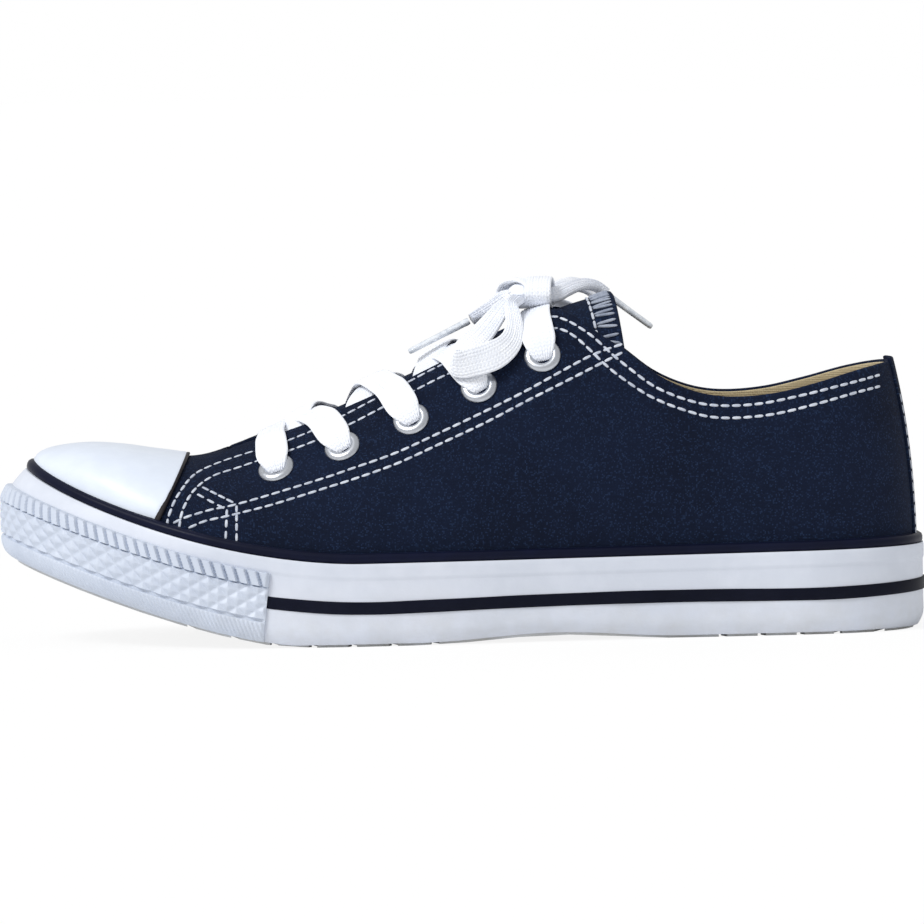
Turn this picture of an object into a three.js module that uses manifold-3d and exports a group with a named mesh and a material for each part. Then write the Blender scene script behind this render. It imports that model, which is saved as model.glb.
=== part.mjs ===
// A low canvas sneaker with a rubber toe cap, for the left foot, standing empty on its sole.
// Millimetres, +Z up, the toe towards -X, the outer side of the foot towards -Y.
import * as THREE from "three";
import { mergeVertices } from "three/addons/utils/BufferGeometryUtils.js";
import Module from "manifold-3d";

const wasm = await Module();
wasm.setup();

// ---- Driving sizes -------------------------------------------------------------------------

const LENGTH = 282; // toe bumper to heel, outside
const GAP = 0.3; // between pieces that touch
const WALL = 2; // canvas with its lining
const FOXING_THICK = 2.7;
const BUMPER_PROUD = 1.6;
const TIP = BUMPER_PROUD + GAP; // where the foxing starts behind the bumper
const CAP_THICK = 1.4;
const TRIM_HIGH = 3.1;
const TRIM_THICK = 2.2;
const TRIM_ROUND = 0.4; // how far the trim's edges are rounded
const EDGE_ROUND = 1.8; // how far the foxing draws in at its lower edge
const OUTSOLE_PROUD = 0.8; // below the foxing's lower edge
const OUTSOLE_THICK = { forefoot: 8, heel: 13 };
const INSOLE_THICK = 3.5;

const TOE_SPRING = { rise: 27.1, starts: 90, power: 1.38 }; // of the sole's underside
const ARCH = { rise: 1.9, from: 128, to: 208 };
const FOXING_HEIGHT = 25; // of its upper edge, at the ball
const FOXING_SPRING = { rise: 28.8, starts: 110, power: 1.76 };
const FOXING_HEEL = { rise: 0.8, starts: 150, power: 2 };
const TOE_LEAN = { inset: 6.6, starts: 78, power: 1.5, begins: 0.6 }; // the foxing leans in over the toe
const TOE_ROUND = { long: 75, power: 2.3 };
const HEEL_ROUND = { long: 44, power: 2.3 };
const RIM_DEPTH = 2; // the wall starts to curve this far below the foxing's upper edge

// The foxing's outline from above: half its width, and how far its middle lies towards the inner side.
const PLAN = [
  { fromToe: 0, half: 40, middle: 8 },
  { fromToe: 30, half: 44, middle: 5.7 },
  { fromToe: 60, half: 48.3, middle: 2.6 },
  { fromToe: 90, half: 50.6, middle: 0.1 },
  { fromToe: 112, half: 49.4, middle: -1.8 },
  { fromToe: 140, half: 44.2, middle: -3.8 },
  { fromToe: 170, half: 39.2, middle: -4 },
  { fromToe: 200, half: 37, middle: -2.5 },
  { fromToe: 235, half: 36.6, middle: -0.6 },
  { fromToe: 282, half: 36, middle: 0 },
];

// The last's sections: the height of the crown, and the powers of the curve across (2 and 2 is an ellipse).
const SECTIONS = [
  { fromToe: 0, crown: 59.5, across: 2, up: 6 },
  { fromToe: 16, crown: 60.3, across: 2, up: 4.6 },
  { fromToe: 28, crown: 60.2, across: 2, up: 3.8 },
  { fromToe: 38, crown: 58.9, across: 1.95, up: 3 },
  { fromToe: 50, crown: 56.8, across: 1.88, up: 2.3 },
  { fromToe: 62, crown: 56.6, across: 1.8, up: 1.8 },
  { fromToe: 74, crown: 60.4, across: 1.76, up: 1.56 },
  { fromToe: 88, crown: 66.6, across: 1.76, up: 1.5 },
  { fromToe: 108, crown: 75.6, across: 1.82, up: 1.55 },
  { fromToe: 135, crown: 87.4, across: 2.1, up: 1.75 },
  { fromToe: 170, crown: 102, across: 2.5, up: 2 },
  { fromToe: 187, crown: 107.6, across: 2.45, up: 2.02 },
  { fromToe: 205, crown: 118, across: 2.35, up: 2 },
  { fromToe: 232, crown: 136, across: 2.2, up: 2 },
  { fromToe: 282, crown: 140, across: 2.2, up: 2 },
];
const TOE_FAN = 78; // ribs of the toe meet on the crown here
const HEEL_FAN = 228;
const FAN_BLEND = 12;

// The collar's edge from the side.
const COLLAR = [
  { fromToe: 170.5, height: 99.2 },
  { fromToe: 178, height: 95.1 },
  { fromToe: 184, height: 91 },
  { fromToe: 191, height: 86.4 },
  { fromToe: 201.5, height: 78.2 },
  { fromToe: 212, height: 73.4 },
  { fromToe: 222, height: 71.6 },
  { fromToe: 235, height: 72.2 },
  { fromToe: 248, height: 74.9 },
  { fromToe: 261, height: 78.4 },
  { fromToe: 272, height: 80.6 },
];
const THROAT = { front: 68, back: 176, halfFront: 15, halfBack: 14 };
const TONGUE = { front: 56, end: 186.5, sweep: 5, halfFront: 25, halfBack: 27, thick: 2.2, under: 1 };
const CAP_EDGE = [
  [31, 0],
  [79, 100],
]; // the line, from the side, at which the toe cap ends
const FACE_ROWS = [0, 0.1, 0.25, 0.6, 0.7, 0.83, 0.92, 1]; // shares of the foxing's height
const BUMPER = { endTop: 83, endBottom: 80.5, rows: 6 }; // rows of the foxing's face that it covers

// The eyelets from the side, the same on both sides of the throat.
const EYELETS = [
  { fromToe: 85.3, height: 52.9 },
  { fromToe: 105.4, height: 59.2 },
  { fromToe: 126.3, height: 67.1 },
  { fromToe: 146.9, height: 76.5 },
  { fromToe: 166.3, height: 85.4 },
];
const EYELET = { flange: 5.6, bore: 2.7, barrel: 3.3, high: 0.9, hole: 3.65 };
const LACE = { wide: 9, thick: 1.5, narrow: 0.46, round: 1.7 }; // narrow in an eyelet, round in the bow
const OVER_EDGE = -1.4; // depth of a lace's middle where it crosses the throat's edge, and in the throat
const IN_THROAT = 0.3;
// How far towards the toe a lace has gone where it crosses the throat's edge, and a bar in its middle.
const LEAN = { bar: 2, barMiddle: 5, crossing: 7 };
// The same for a crossing's middle and far end, as shares of its lean.
const CROSSED = { middle: 1.75, end: 2.3 };

// The bow's route, from the middle of the shoe's length.
const KNOT = { at: [22, -3.5, 104], radii: [7, 8.5, 3.6] };
const BOW = {
  near_loop: [
    [15, -11.5, 101.2], [12.6, -15, 98.7], [9.8, -18.4, 95.4], [7, -21.6, 92.2], [4.1, -25.2, 89.7],
    [1.2, -28.2, 87.2], [-1.3, -30.7, 85.4], [-1.7, -32.6, 84], [0.4, -33.4, 83.6], [3.9, -33.4, 84.3],
    [7.5, -33, 85.1], [10.9, -32.2, 86.4], [13.9, -30.6, 88.2], [16.2, -27.6, 90.8], [17, -24.2, 93.9],
    [16.8, -20.6, 97.4], [16.4, -17.2, 100.8],
  ],
  far_loop: [
    [29.6, 2.6, 103.9], [31.8, 6.5, 105], [34.4, 10.5, 105.7], [37.4, 14, 105.6], [40.5, 17.4, 104.3],
    [43.3, 20.6, 102.2], [44.4, 23.6, 99.8], [43, 25.6, 98], [40, 25.8, 97.4], [36.6, 24, 97.9],
    [33.4, 20.4, 99.2], [30.4, 15.4, 100.6], [28, 10, 101.8], [26.2, 6, 102.9],
  ],
  near_end: [
    [14.6, -4.8, 102.6], [12.1, -5.4, 101], [9.5, -6, 99.4], [6.9, -6.6, 97.8], [4.3, -7.2, 96.3],
  ],
  far_end: [
    [30, -1.6, 103.3], [33.2, 1.4, 104.5], [36.4, 5, 105.6], [39.6, 8.6, 106], [43, 11.4, 105.2],
    [46, 13.2, 103],
  ],
};
const TIPS = {
  near_tip: { from: [3.5, -7.4, 95.9], to: [-15, -9.6, 86.9] },
  far_tip: { from: [46.6, 13.5, 102.3], to: [60, 14.4, 92.2] },
};
const TIP_RADIUS = 1.1;

const STATIONS = 28; // sections from heel to toe
const HOOP = 8; // steps from the rim to the crown
const OUTER = -1;
const INNER = 1;

// ---- Small mathematics ---------------------------------------------------------------------

// A smooth curve through one column of a table, by distance from the toe.
function through(table, column) {
  const x = table.map((row) => row.fromToe);
  const y = table.map((row) => row[column]);
  const last = x.length - 1;
  const slope = x.map((_, i) => {
    const a = Math.max(i - 1, 0);
    const b = Math.min(i + 1, last);
    return (y[b] - y[a]) / (x[b] - x[a]);
  });
  return (s) => {
    if (s <= x[0]) return y[0] + slope[0] * (s - x[0]) * (column === "height" ? 1 : 0);
    if (s >= x[last]) return y[last] + slope[last] * (s - x[last]) * (column === "height" ? 1 : 0);
    const i = x.findIndex((value) => value > s) - 1;
    const step = x[i + 1] - x[i];
    const t = (s - x[i]) / step;
    const ease = t * t * (3 - 2 * t);
    const leave = t * (1 - t) * (1 - t);
    const arrive = t * t * (t - 1);
    return y[i] * (1 - ease) + y[i + 1] * ease + step * (slope[i] * leave + slope[i + 1] * arrive);
  };
}

const rise = (s, spring) =>
  s < spring.starts ? spring.rise * ((spring.starts - s) / spring.starts) ** spring.power : 0;
const smooth = (a, b, s) => THREE.MathUtils.smoothstep(s, a, b);

// The larger of two values, rounded over FAN_BLEND on each side of where they are equal.
function roundedMax(a, b) {
  const d = a - b;
  if (Math.abs(d) >= FAN_BLEND) return Math.max(a, b);
  return b + (d + FAN_BLEND) ** 2 / (4 * FAN_BLEND);
}

// ---- The sole's lines ----------------------------------------------------------------------

const halfAt = through(PLAN, "half");
const middleAt = through(PLAN, "middle");
const underside = (s) => {
  const t = (s - ARCH.from) / (ARCH.to - ARCH.from);
  const arch = t > 0 && t < 1 ? ARCH.rise * Math.sin(Math.PI * t) ** 2 : 0;
  return rise(s, TOE_SPRING) + arch;
};
const foxingTop = (s) => {
  const back = Math.max(s - FOXING_HEEL.starts, 0) / (LENGTH - FOXING_HEEL.starts);
  return FOXING_HEIGHT + rise(s, FOXING_SPRING) + FOXING_HEEL.rise * back ** FOXING_HEEL.power;
};
const footbed = (s) =>
  rise(s, TOE_SPRING) +
  OUTSOLE_THICK.forefoot +
  (OUTSOLE_THICK.heel - OUTSOLE_THICK.forefoot) * smooth(115, 215, s);
const toeLean = (s) =>
  s < TOE_LEAN.starts ? TOE_LEAN.inset * ((TOE_LEAN.starts - s) / TOE_LEAN.starts) ** TOE_LEAN.power : 0;
const rimInset = (s) => FOXING_THICK + GAP + toeLean(s);

// The outline rounds off towards both ends.
function roundingAt(s) {
  const toe = Math.max(TIP + TOE_ROUND.long - s, 0) / TOE_ROUND.long;
  const heel = Math.max(s - (LENGTH - HEEL_ROUND.long), 0) / HEEL_ROUND.long;
  return (
    Math.max(1 - toe ** TOE_ROUND.power, 0) ** (1 / TOE_ROUND.power) *
    Math.max(1 - heel ** HEEL_ROUND.power, 0) ** (1 / HEEL_ROUND.power)
  );
}

// Station u runs from 0 at the back of the heel to 1 at the tip of the toe, on either side.
const stationAt = (u) => TIP + (LENGTH - TIP) * 0.5 * (1 + Math.cos(Math.PI * u));
const stationOf = (s) => Math.acos((2 * (s - TIP)) / (LENGTH - TIP) - 1) / Math.PI;
function outline(u, side) {
  const s = stationAt(u);
  return new THREE.Vector2(s, middleAt(s) + side * halfAt(s) * roundingAt(s));
}

// The outline moved inwards, square to itself. At both ends it stays on one line for the two sides.
function inset(u, side, by) {
  const here = outline(u, side);
  if (u <= 0) return here.sub(new THREE.Vector2(by, 0));
  if (u >= 1) return here.add(new THREE.Vector2(by, 0));
  const step = Math.min(1e-3, u / 2, (1 - u) / 2);
  const run = outline(u + step, side).sub(outline(u - step, side)).normalize();
  return here.add(new THREE.Vector2(-run.y, run.x).multiplyScalar(by * side));
}

// ---- The last ------------------------------------------------------------------------------

const crownAt = through(SECTIONS, "crown");
const acrossAt = through(SECTIONS, "across");
const upAt = through(SECTIONS, "up");
const ribTop = (s) => -roundedMax(-roundedMax(s, TOE_FAN), -HEEL_FAN);

// A point of the last, shrunk by depth: turn runs from 0 at the rim to 1 on the crown.
function lastPoint(u, side, turn, depth = 0) {
  const s = stationAt(u);
  const foot = inset(u, side, rimInset(s) + depth);
  const top = new THREE.Vector2(ribTop(s), middleAt(ribTop(s)));
  const angle = (turn * Math.PI) / 2;
  const inwards = 1 - Math.cos(angle) ** (2 / acrossAt(s));
  const plan = foot.lerp(top, inwards);
  const rim = foxingTop(s) - RIM_DEPTH;
  const share = Math.sin(angle) ** (2 / upAt(s));
  return new THREE.Vector3(plan.x, plan.y, rim + (crownAt(plan.x) - depth - rim) * share);
}

// Finds where a rib's own measure, rising from 0 to 1 along it, reaches the wanted value.
function solve(measure, wanted, low = 0, high = 1) {
  for (let i = 0; i < 40; i++) {
    const middle = (low + high) / 2;
    if (measure(middle) < wanted) low = middle;
    else high = middle;
  }
  return (low + high) / 2;
}

// A place on the last, from its distance from the toe and what find(u) gives as its turn.
function placed(fromToe, find, side, depth) {
  let s = fromToe;
  let turn = 0;
  for (let i = 0; i < 25; i++) {
    turn = find(stationOf(s));
    s += fromToe - lastPoint(stationOf(s), side, turn, depth).x;
  }
  const u = stationOf(s);
  const d = 1e-3;
  const at = lastPoint(u, side, turn, depth);
  const alongTurn = lastPoint(u, side, turn + d, depth).sub(lastPoint(u, side, turn - d, depth));
  const alongU = lastPoint(u + d, side, turn, depth).sub(lastPoint(u - d, side, turn, depth));
  const normal = alongTurn.cross(alongU).normalize();
  if (normal.z < 0) normal.negate();
  return { at, normal };
}
const fromTheSide = (fromToe, height, side, depth = 0) =>
  placed(fromToe, (u) => solve((t) => lastPoint(u, side, t, depth).z, height, 0.01, 0.99), side, depth);
const fromAbove = (fromToe, y, depth = 0) => {
  const side = y < middleAt(fromToe) ? OUTER : INNER;
  return placed(
    fromToe,
    (u) => solve((t) => -side * lastPoint(u, side, t, depth).y, -side * y, 0.01, 0.995),
    side,
    depth,
  );
};

// ---- Meshes and solids ---------------------------------------------------------------------

// A closed body from points and triangles, with equal points merged.
function closedBody(points, triangles) {
  const geometry = new THREE.BufferGeometry().setFromPoints(points);
  geometry.setIndex(triangles);
  const merged = mergeVertices(geometry, 1e-3);
  const index = merged.index.array;
  const kept = [];
  for (let i = 0; i < index.length; i += 3) {
    const [a, b, c] = index.slice(i, i + 3);
    if (a !== b && b !== c && c !== a) kept.push(a, b, c);
  }
  const mesh = new wasm.Mesh({
    numProp: 3,
    vertProperties: merged.attributes.position.array,
    triVerts: new Uint32Array(kept),
  });
  return new wasm.Manifold(mesh);
}

function geometryOf(solid) {
  const mesh = solid.getMesh();
  const geometry = new THREE.BufferGeometry();
  geometry.setAttribute("position", new THREE.BufferAttribute(mesh.vertProperties, 3));
  geometry.setIndex(new THREE.BufferAttribute(mesh.triVerts, 1));
  geometry.computeVertexNormals();
  return geometry;
}

function bodyOf(geometry) {
  const points = [];
  const position = geometry.getAttribute("position");
  for (let i = 0; i < position.count; i++) points.push(new THREE.Vector3().fromBufferAttribute(position, i));
  const index = geometry.index ? Array.from(geometry.index.array) : points.map((_, i) => i);
  return closedBody(points, index);
}

// Two triangles for each cell of a grid of points; rings wrap round the columns.
function gridTriangles(rows, columns, wraps, first = 0) {
  const triangles = [];
  const cells = wraps ? columns : columns - 1;
  for (let i = 0; i < rows - 1; i++)
    for (let j = 0; j < cells; j++) {
      const a = first + i * columns + j;
      const b = first + i * columns + ((j + 1) % columns);
      triangles.push(a, a + columns, b, b, a + columns, b - a + a + columns);
    }
  return triangles;
}

// A body swept through sections that are closed loops of the same count, with flat fans as its ends.
function swept(sections, closes = false) {
  const columns = sections[0].length;
  const rows = closes ? [...sections, sections[0]] : sections;
  const points = rows.flat();
  const triangles = gridTriangles(rows.length, columns, true);
  if (!closes)
    for (const [row, order] of [
      [0, 1],
      [rows.length - 1, -1],
    ]) {
      const middle = points.length;
      const centre = new THREE.Vector3();
      rows[row].forEach((p) => centre.add(p));
      points.push(centre.divideScalar(columns));
      for (let j = 0; j < columns; j++) {
        const a = row * columns + j;
        const b = row * columns + ((j + 1) % columns);
        triangles.push(...(order > 0 ? [middle, a, b] : [middle, b, a]));
      }
    }
  const body = closedBody(points, triangles);
  return body.volume() > 0 ? body : closedBody(points, triangles.reverse());
}

// The whole shoe's stations, from the heel along the outer side to the toe and back along the inner side.
const AROUND = [];
for (let i = 0; i < 2 * STATIONS; i++) {
  const outerSide = i <= STATIONS;
  AROUND.push({
    u: outerSide ? i / STATIONS : 2 - i / STATIONS,
    side: outerSide ? OUTER : INNER,
  });
}

// A band round the shoe. profile(s) lists its section as pairs of inset and height.
function band(profile, stations = AROUND, closes = true) {
  const sections = stations.map(({ u, side }) =>
    profile(stationAt(u)).map(([by, height]) => {
      const p = inset(u, side, by);
      return new THREE.Vector3(p.x, p.y, height);
    }),
  );
  return swept(sections, closes);
}

// A plate inside the outline, ruled across from side to side.
function plate(insetAt, low, high) {
  const points = [];
  for (let i = 0; i <= STATIONS; i++) {
    const u = i / STATIONS;
    const s = stationAt(u);
    for (const [side, height] of [
      [OUTER, low],
      [INNER, low],
      [INNER, high],
      [OUTER, high],
    ]) {
      const p = inset(u, side, insetAt(s));
      points.push(new THREE.Vector3(p.x, p.y, height(p.x)));
    }
  }
  const triangles = gridTriangles(STATIONS + 1, 4, true);
  const body = closedBody(points, triangles);
  return body.volume() > 0 ? body : closedBody(points, triangles.reverse());
}

// The last as a filled body, shrunk by depth, down to the height that floor(s) gives.
function lastBody(depth, floor) {
  const points = [];
  const columns = 2 * HOOP + 3;
  for (let i = 0; i <= STATIONS; i++) {
    const u = i / STATIONS;
    const hoop = [];
    for (const side of [OUTER, INNER]) {
      const half = [];
      for (let j = 0; j <= HOOP; j++) half.push(lastPoint(u, side, j / HOOP, depth));
      const foot = half[0].clone().setZ(floor(stationAt(u)));
      const rib = [foot, ...half];
      hoop.push(...(side === OUTER ? rib : rib.reverse().slice(1)));
    }
    points.push(...hoop);
  }
  const triangles = gridTriangles(STATIONS + 1, columns, true);
  const body = closedBody(points, triangles);
  return body.volume() > 0 ? body : closedBody(points, triangles.reverse());
}

// A prism with its outline seen from above, or from the side.
function prism(corners, from, to, seenFromTheSide = false) {
  const shape = new THREE.Shape(corners.map(([a, b]) => new THREE.Vector2(a, b)));
  const geometry = new THREE.ExtrudeGeometry(shape, { depth: to - from, bevelEnabled: false });
  geometry.translate(0, 0, from);
  if (seenFromTheSide) geometry.rotateX(Math.PI / 2);
  return bodyOf(geometry);
}

const steps = (from, to, count) =>
  Array.from({ length: count + 1 }, (_, i) => from + ((to - from) * i) / count);

// ---- Sole ----------------------------------------------------------------------------------

function makeOutsole() {
  let body = plate(
    () => FOXING_THICK + GAP,
    underside,
    footbed,
  );
  const waves = { deep: 2.2, wide: 2.6, swing: 5, count: 8 };
  // Zigzag grooves across the tread of the forefoot and the heel.
  for (const s of [...steps(54, 126, 6), ...steps(216, 264, 4)]) {
    const ridge = steps(-60, 60, waves.count).map((y, i) => [s + (i % 2 ? waves.swing : 0), y]);
    const back = ridge.map(([x, y]) => [x + waves.wide, y]).reverse();
    const cut = prism([...ridge, ...back], -20, underside(s + waves.swing / 2) + waves.deep);
    body = body.subtract(cut);
  }
  return body;
}

const makeInsole = () =>
  plate(
    (s) => rimInset(s) + WALL + GAP,
    (s) => footbed(s) + GAP,
    (s) => footbed(s) + GAP + INSOLE_THICK,
  );

// How far the foxing's face is drawn in at a share of its height.
function faceInset(s, share) {
  const lean = Math.max(share - TOE_LEAN.begins, 0) / (1 - TOE_LEAN.begins);
  const round = Math.max(1 - share / 0.2, 0);
  return toeLean(s) * lean ** 1.7 + EDGE_ROUND * round ** 2;
}

function faceRows(s, shares, proud) {
  const low = underside(s) + OUTSOLE_PROUD;
  const high = foxingTop(s);
  return shares.map((share) => [faceInset(s, share) - proud, low + (high - low) * share]);
}

const makeFoxing = () =>
  band((s) => [
    ...faceRows(s, FACE_ROWS, 0),
    [rimInset(s) - GAP, foxingTop(s)],
    [rimInset(s) - GAP, footbed(s) + GAP],
    [FOXING_THICK, footbed(s) + GAP],
    [FOXING_THICK, underside(s) + OUTSOLE_PROUD],
  ]);

const makeTrim = () =>
  band((s) => {
    const back = rimInset(s) - GAP;
    const low = foxingTop(s) + GAP;
    return [
      [back, low],
      [back - TRIM_THICK, low],
      [back - TRIM_THICK - TRIM_ROUND, low + TRIM_HIGH * 0.4],
      [back - TRIM_THICK + TRIM_ROUND, low + TRIM_HIGH],
      [back, low + TRIM_HIGH],
    ];
  });

function makeBumper() {
  const end = stationOf(BUMPER.endTop);
  const count = 12;
  const stations = [
    ...steps(end, 1, count).map((u) => ({ u, side: OUTER })),
    ...steps(1, end, count).slice(1).map((u) => ({ u, side: INNER })),
  ];
  const shares = FACE_ROWS.slice(0, BUMPER.rows);
  const profile = (s) => [
    ...faceRows(s, shares, BUMPER_PROUD + GAP),
    ...faceRows(s, [...shares].reverse(), GAP),
  ];
  const slant = prism(
    [
      [BUMPER.endBottom, -5],
      [BUMPER.endTop + 2, 40],
      [BUMPER.endTop + 20, 40],
      [BUMPER.endTop + 20, -5],
    ],
    -80,
    80,
    true,
  );
  return band(profile, stations, false).subtract(slant);
}

// ---- Upper ---------------------------------------------------------------------------------

function collarCut() {
  const height = through(COLLAR, "height");
  const edge = steps(THROAT.back - 6, LENGTH + 6, 26).map((s) => [s, height(s)]);
  return prism([...edge, [LENGTH + 6, 200], [THROAT.back - 6, 200]], -90, 90, true);
}

function slot(front, back, halfFront, halfBack, round) {
  const corners = [];
  for (const angle of steps(-90, 90, 8)) {
    const a = THREE.MathUtils.degToRad(angle);
    corners.push([front + round - round * Math.cos(a), middleAt(front) + halfFront * Math.sin(a)]);
  }
  corners.push([back, middleAt(back) + halfBack], [back, middleAt(back) - halfBack]);
  return corners;
}

const throatCut = () =>
  prism(slot(THROAT.front, THROAT.back, THROAT.halfFront, THROAT.halfBack, THROAT.halfFront), 40, 200);

// A round bar square to the last at an eyelet.
function eyeletBar(eyelet, side, radius, from, to) {
  const { at, normal } = fromTheSide(eyelet.fromToe, eyelet.height, side);
  const bar = new THREE.CylinderGeometry(radius, radius, to - from, 12);
  bar.translate(0, (from + to) / 2, 0);
  bar.applyQuaternion(new THREE.Quaternion().setFromUnitVectors(new THREE.Vector3(0, 1, 0), normal));
  bar.translate(at.x, at.y, at.z);
  return bodyOf(bar);
}

function makeUpper() {
  const floor = (s) => footbed(s) + GAP;
  let body = lastBody(0, floor).subtract(lastBody(WALL, (s) => floor(s) - 6));
  body = body.subtract(collarCut()).subtract(throatCut());
  for (const eyelet of EYELETS)
    for (const side of [OUTER, INNER])
      body = body.subtract(eyeletBar(eyelet, side, EYELET.hole, -8, 8));
  return body;
}

function makeToeCap() {
  const floor = (s) => foxingTop(s) + TRIM_HIGH + 2 * GAP;
  const shell = lastBody(-GAP - CAP_THICK, floor).subtract(lastBody(-GAP, (s) => floor(s) - 20));
  return shell.intersect(prism([[-20, 0], ...CAP_EDGE, [-20, 100]], -80, 80, true));
}

function makeTongue() {
  const deep = WALL + TONGUE.under;
  const sheet = lastBody(deep, () => 20).subtract(lastBody(deep + TONGUE.thick, () => 0));
  const corners = slot(TONGUE.front, TONGUE.end - 20, TONGUE.halfFront, TONGUE.halfBack, 10).slice(0, -2);
  const end = steps(TONGUE.halfBack, -TONGUE.halfBack, 8).map((y) => [
    TONGUE.end + TONGUE.sweep * (y / TONGUE.halfBack) ** 2,
    middleAt(TONGUE.end) + y,
  ]);
  return sheet.intersect(prism([...corners, ...end], 40, 140));
}

function makeEyelet(eyelet, side) {
  const { at, normal } = fromTheSide(eyelet.fromToe, eyelet.height, side);
  const round = 0.35;
  const profile = [
    [EYELET.bore, -WALL],
    [EYELET.barrel, -WALL],
    [EYELET.barrel, GAP],
    [EYELET.flange, GAP],
    [EYELET.flange - round, GAP + EYELET.high],
    [EYELET.bore, GAP + EYELET.high],
    [EYELET.bore, -WALL],
  ].map(([r, h]) => new THREE.Vector2(r, h));
  const ring = new THREE.LatheGeometry(profile, 12);
  ring.applyQuaternion(new THREE.Quaternion().setFromUnitVectors(new THREE.Vector3(0, 1, 0), normal));
  ring.translate(at.x, at.y, at.z);
  return bodyOf(ring);
}

// ---- Laces ---------------------------------------------------------------------------------

// A flat lace along a smooth path of points, its flat side facing each point's own normal.
function strap(path, stepsEach = 3) {
  const line = new THREE.CatmullRomCurve3(path.map((p) => p.at), false, "centripetal");
  const count = (path.length - 1) * stepsEach;
  const { wide, thick } = LACE;
  const section = [
    [-0.5, 0],
    [-0.36, 0.5],
    [0.36, 0.5],
    [0.5, 0],
    [0.36, -0.5],
    [-0.36, -0.5],
  ];
  const sections = steps(0, 1, count).map((t) => {
    const at = line.getPoint(t);
    const run = line.getTangent(t);
    const place = t * (path.length - 1);
    const i = Math.min(Math.floor(place), path.length - 2);
    const normal = path[i].normal.clone().lerp(path[i + 1].normal, place - i);
    const width = new THREE.Vector3().crossVectors(run, normal).normalize();
    const flat = new THREE.Vector3().crossVectors(width, run).normalize();
    const w = wide * THREE.MathUtils.lerp(path[i].narrow ?? 1, path[i + 1].narrow ?? 1, place - i);
    return section.map(([a, b]) =>
      at.clone().addScaledVector(width, a * w).addScaledVector(flat, b * thick),
    );
  });
  return swept(sections);
}

const deeper = ({ at, normal }, depth) => ({ at: at.clone().addScaledVector(normal, -depth), normal });

// A point of a lace's route from the middle line, on the last, sunk by depth.
function lacePoint(fromToe, fromMiddle, depth) {
  return deeper(fromAbove(fromToe, middleAt(fromToe) + fromMiddle), depth);
}

// From an eyelet's bore over the throat's edge on its side.
function leavingEyelet(eyelet, side, lean) {
  const edge = THROAT.halfBack + 1;
  const bore = deeper(fromTheSide(eyelet.fromToe, eyelet.height, side), 0.8);
  return [
    { ...bore, narrow: LACE.narrow },
    { ...deeper(bore, -3.8), narrow: 0.75 },
    lacePoint(eyelet.fromToe - 0.7 * lean, side * (edge + 4.6), OVER_EDGE - 1),
    lacePoint(eyelet.fromToe - lean, side * edge, OVER_EDGE),
  ];
}

function makeBar(eyelet) {
  const middle = lacePoint(eyelet.fromToe - LEAN.barMiddle, 0, IN_THROAT);
  const [outer, inner] = [OUTER, INNER].map((side) => leavingEyelet(eyelet, side, LEAN.bar));
  return strap([...outer, middle, ...inner.reverse()]);
}

// Two straps, each from an eyelet across the throat to the opposite edge, one over the other.
function makeCrossing(eyelet) {
  const bodies = [OUTER, INNER].map((side) =>
    strap([
      ...leavingEyelet(eyelet, side, LEAN.crossing),
      lacePoint(eyelet.fromToe - CROSSED.middle * LEAN.crossing, 0, IN_THROAT),
      lacePoint(eyelet.fromToe - CROSSED.end * LEAN.crossing, -side * (THROAT.halfBack - 3.5), IN_THROAT + 1),
    ]),
  );
  return bodies[0].add(bodies[1]);
}

function makeKnot() {
  const ball = new THREE.SphereGeometry(1, 12, 8);
  ball.scale(...KNOT.radii);
  ball.translate(...KNOT.at);
  return bodyOf(ball);
}

function tube(points, radius, count) {
  const path = new THREE.CatmullRomCurve3(points.map((p) => new THREE.Vector3(...p)));
  const section = new THREE.Shape().absarc(0, 0, radius, 0, 2 * Math.PI);
  const geometry = new THREE.ExtrudeGeometry(section, { steps: count, curveSegments: 4, extrudePath: path });
  return bodyOf(geometry);
}

const group = new THREE.Group();
const shoe = new THREE.Group();
shoe.position.x = -LENGTH / 2; // tables count from the toe
group.add(shoe);
const MATERIALS = {
  rubber: new THREE.MeshStandardMaterial({ color: 0xeef0f2, roughness: 0.45 }),
  navyRubber: new THREE.MeshStandardMaterial({ color: 0x0d1430, roughness: 0.4 }),
  canvas: new THREE.MeshStandardMaterial({ color: 0x15233f, roughness: 0.9 }),
  lining: new THREE.MeshStandardMaterial({ color: 0xd8c79c, roughness: 0.95 }),
  metal: new THREE.MeshStandardMaterial({ color: 0xdfe0de, roughness: 0.3, metalness: 0.9 }),
  lace: new THREE.MeshStandardMaterial({ color: 0xf4f6fa, roughness: 0.85 }),
};

function addTo(parent, name, body, material) {
  const mesh = new THREE.Mesh(geometryOf(body), MATERIALS[material].clone());
  mesh.name = name;
  parent.add(mesh);
}
const add = (name, body, material) => addTo(shoe, name, body, material);

add("outsole", makeOutsole(), "rubber");
add("foxing", makeFoxing(), "rubber");
add("foxing_trim", makeTrim(), "navyRubber");
add("toe_bumper", makeBumper(), "rubber");
add("upper", makeUpper(), "canvas");
add("toe_cap", makeToeCap(), "rubber");
add("tongue", makeTongue(), "canvas");
add("insole", makeInsole(), "lining");
EYELETS.forEach((eyelet, i) => {
  add(`eyelet_outer_${i + 1}`, makeEyelet(eyelet, OUTER), "metal");
  add(`eyelet_inner_${i + 1}`, makeEyelet(eyelet, INNER), "metal");
});
const [first, ...others] = EYELETS;
const last = others.pop();
add("lace_bar_1", makeBar(first), "lace");
others.forEach((eyelet, i) => add(`lace_crossing_${i + 2}`, makeCrossing(eyelet), "lace"));
add("lace_bar_5", makeBar(last), "lace");

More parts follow.
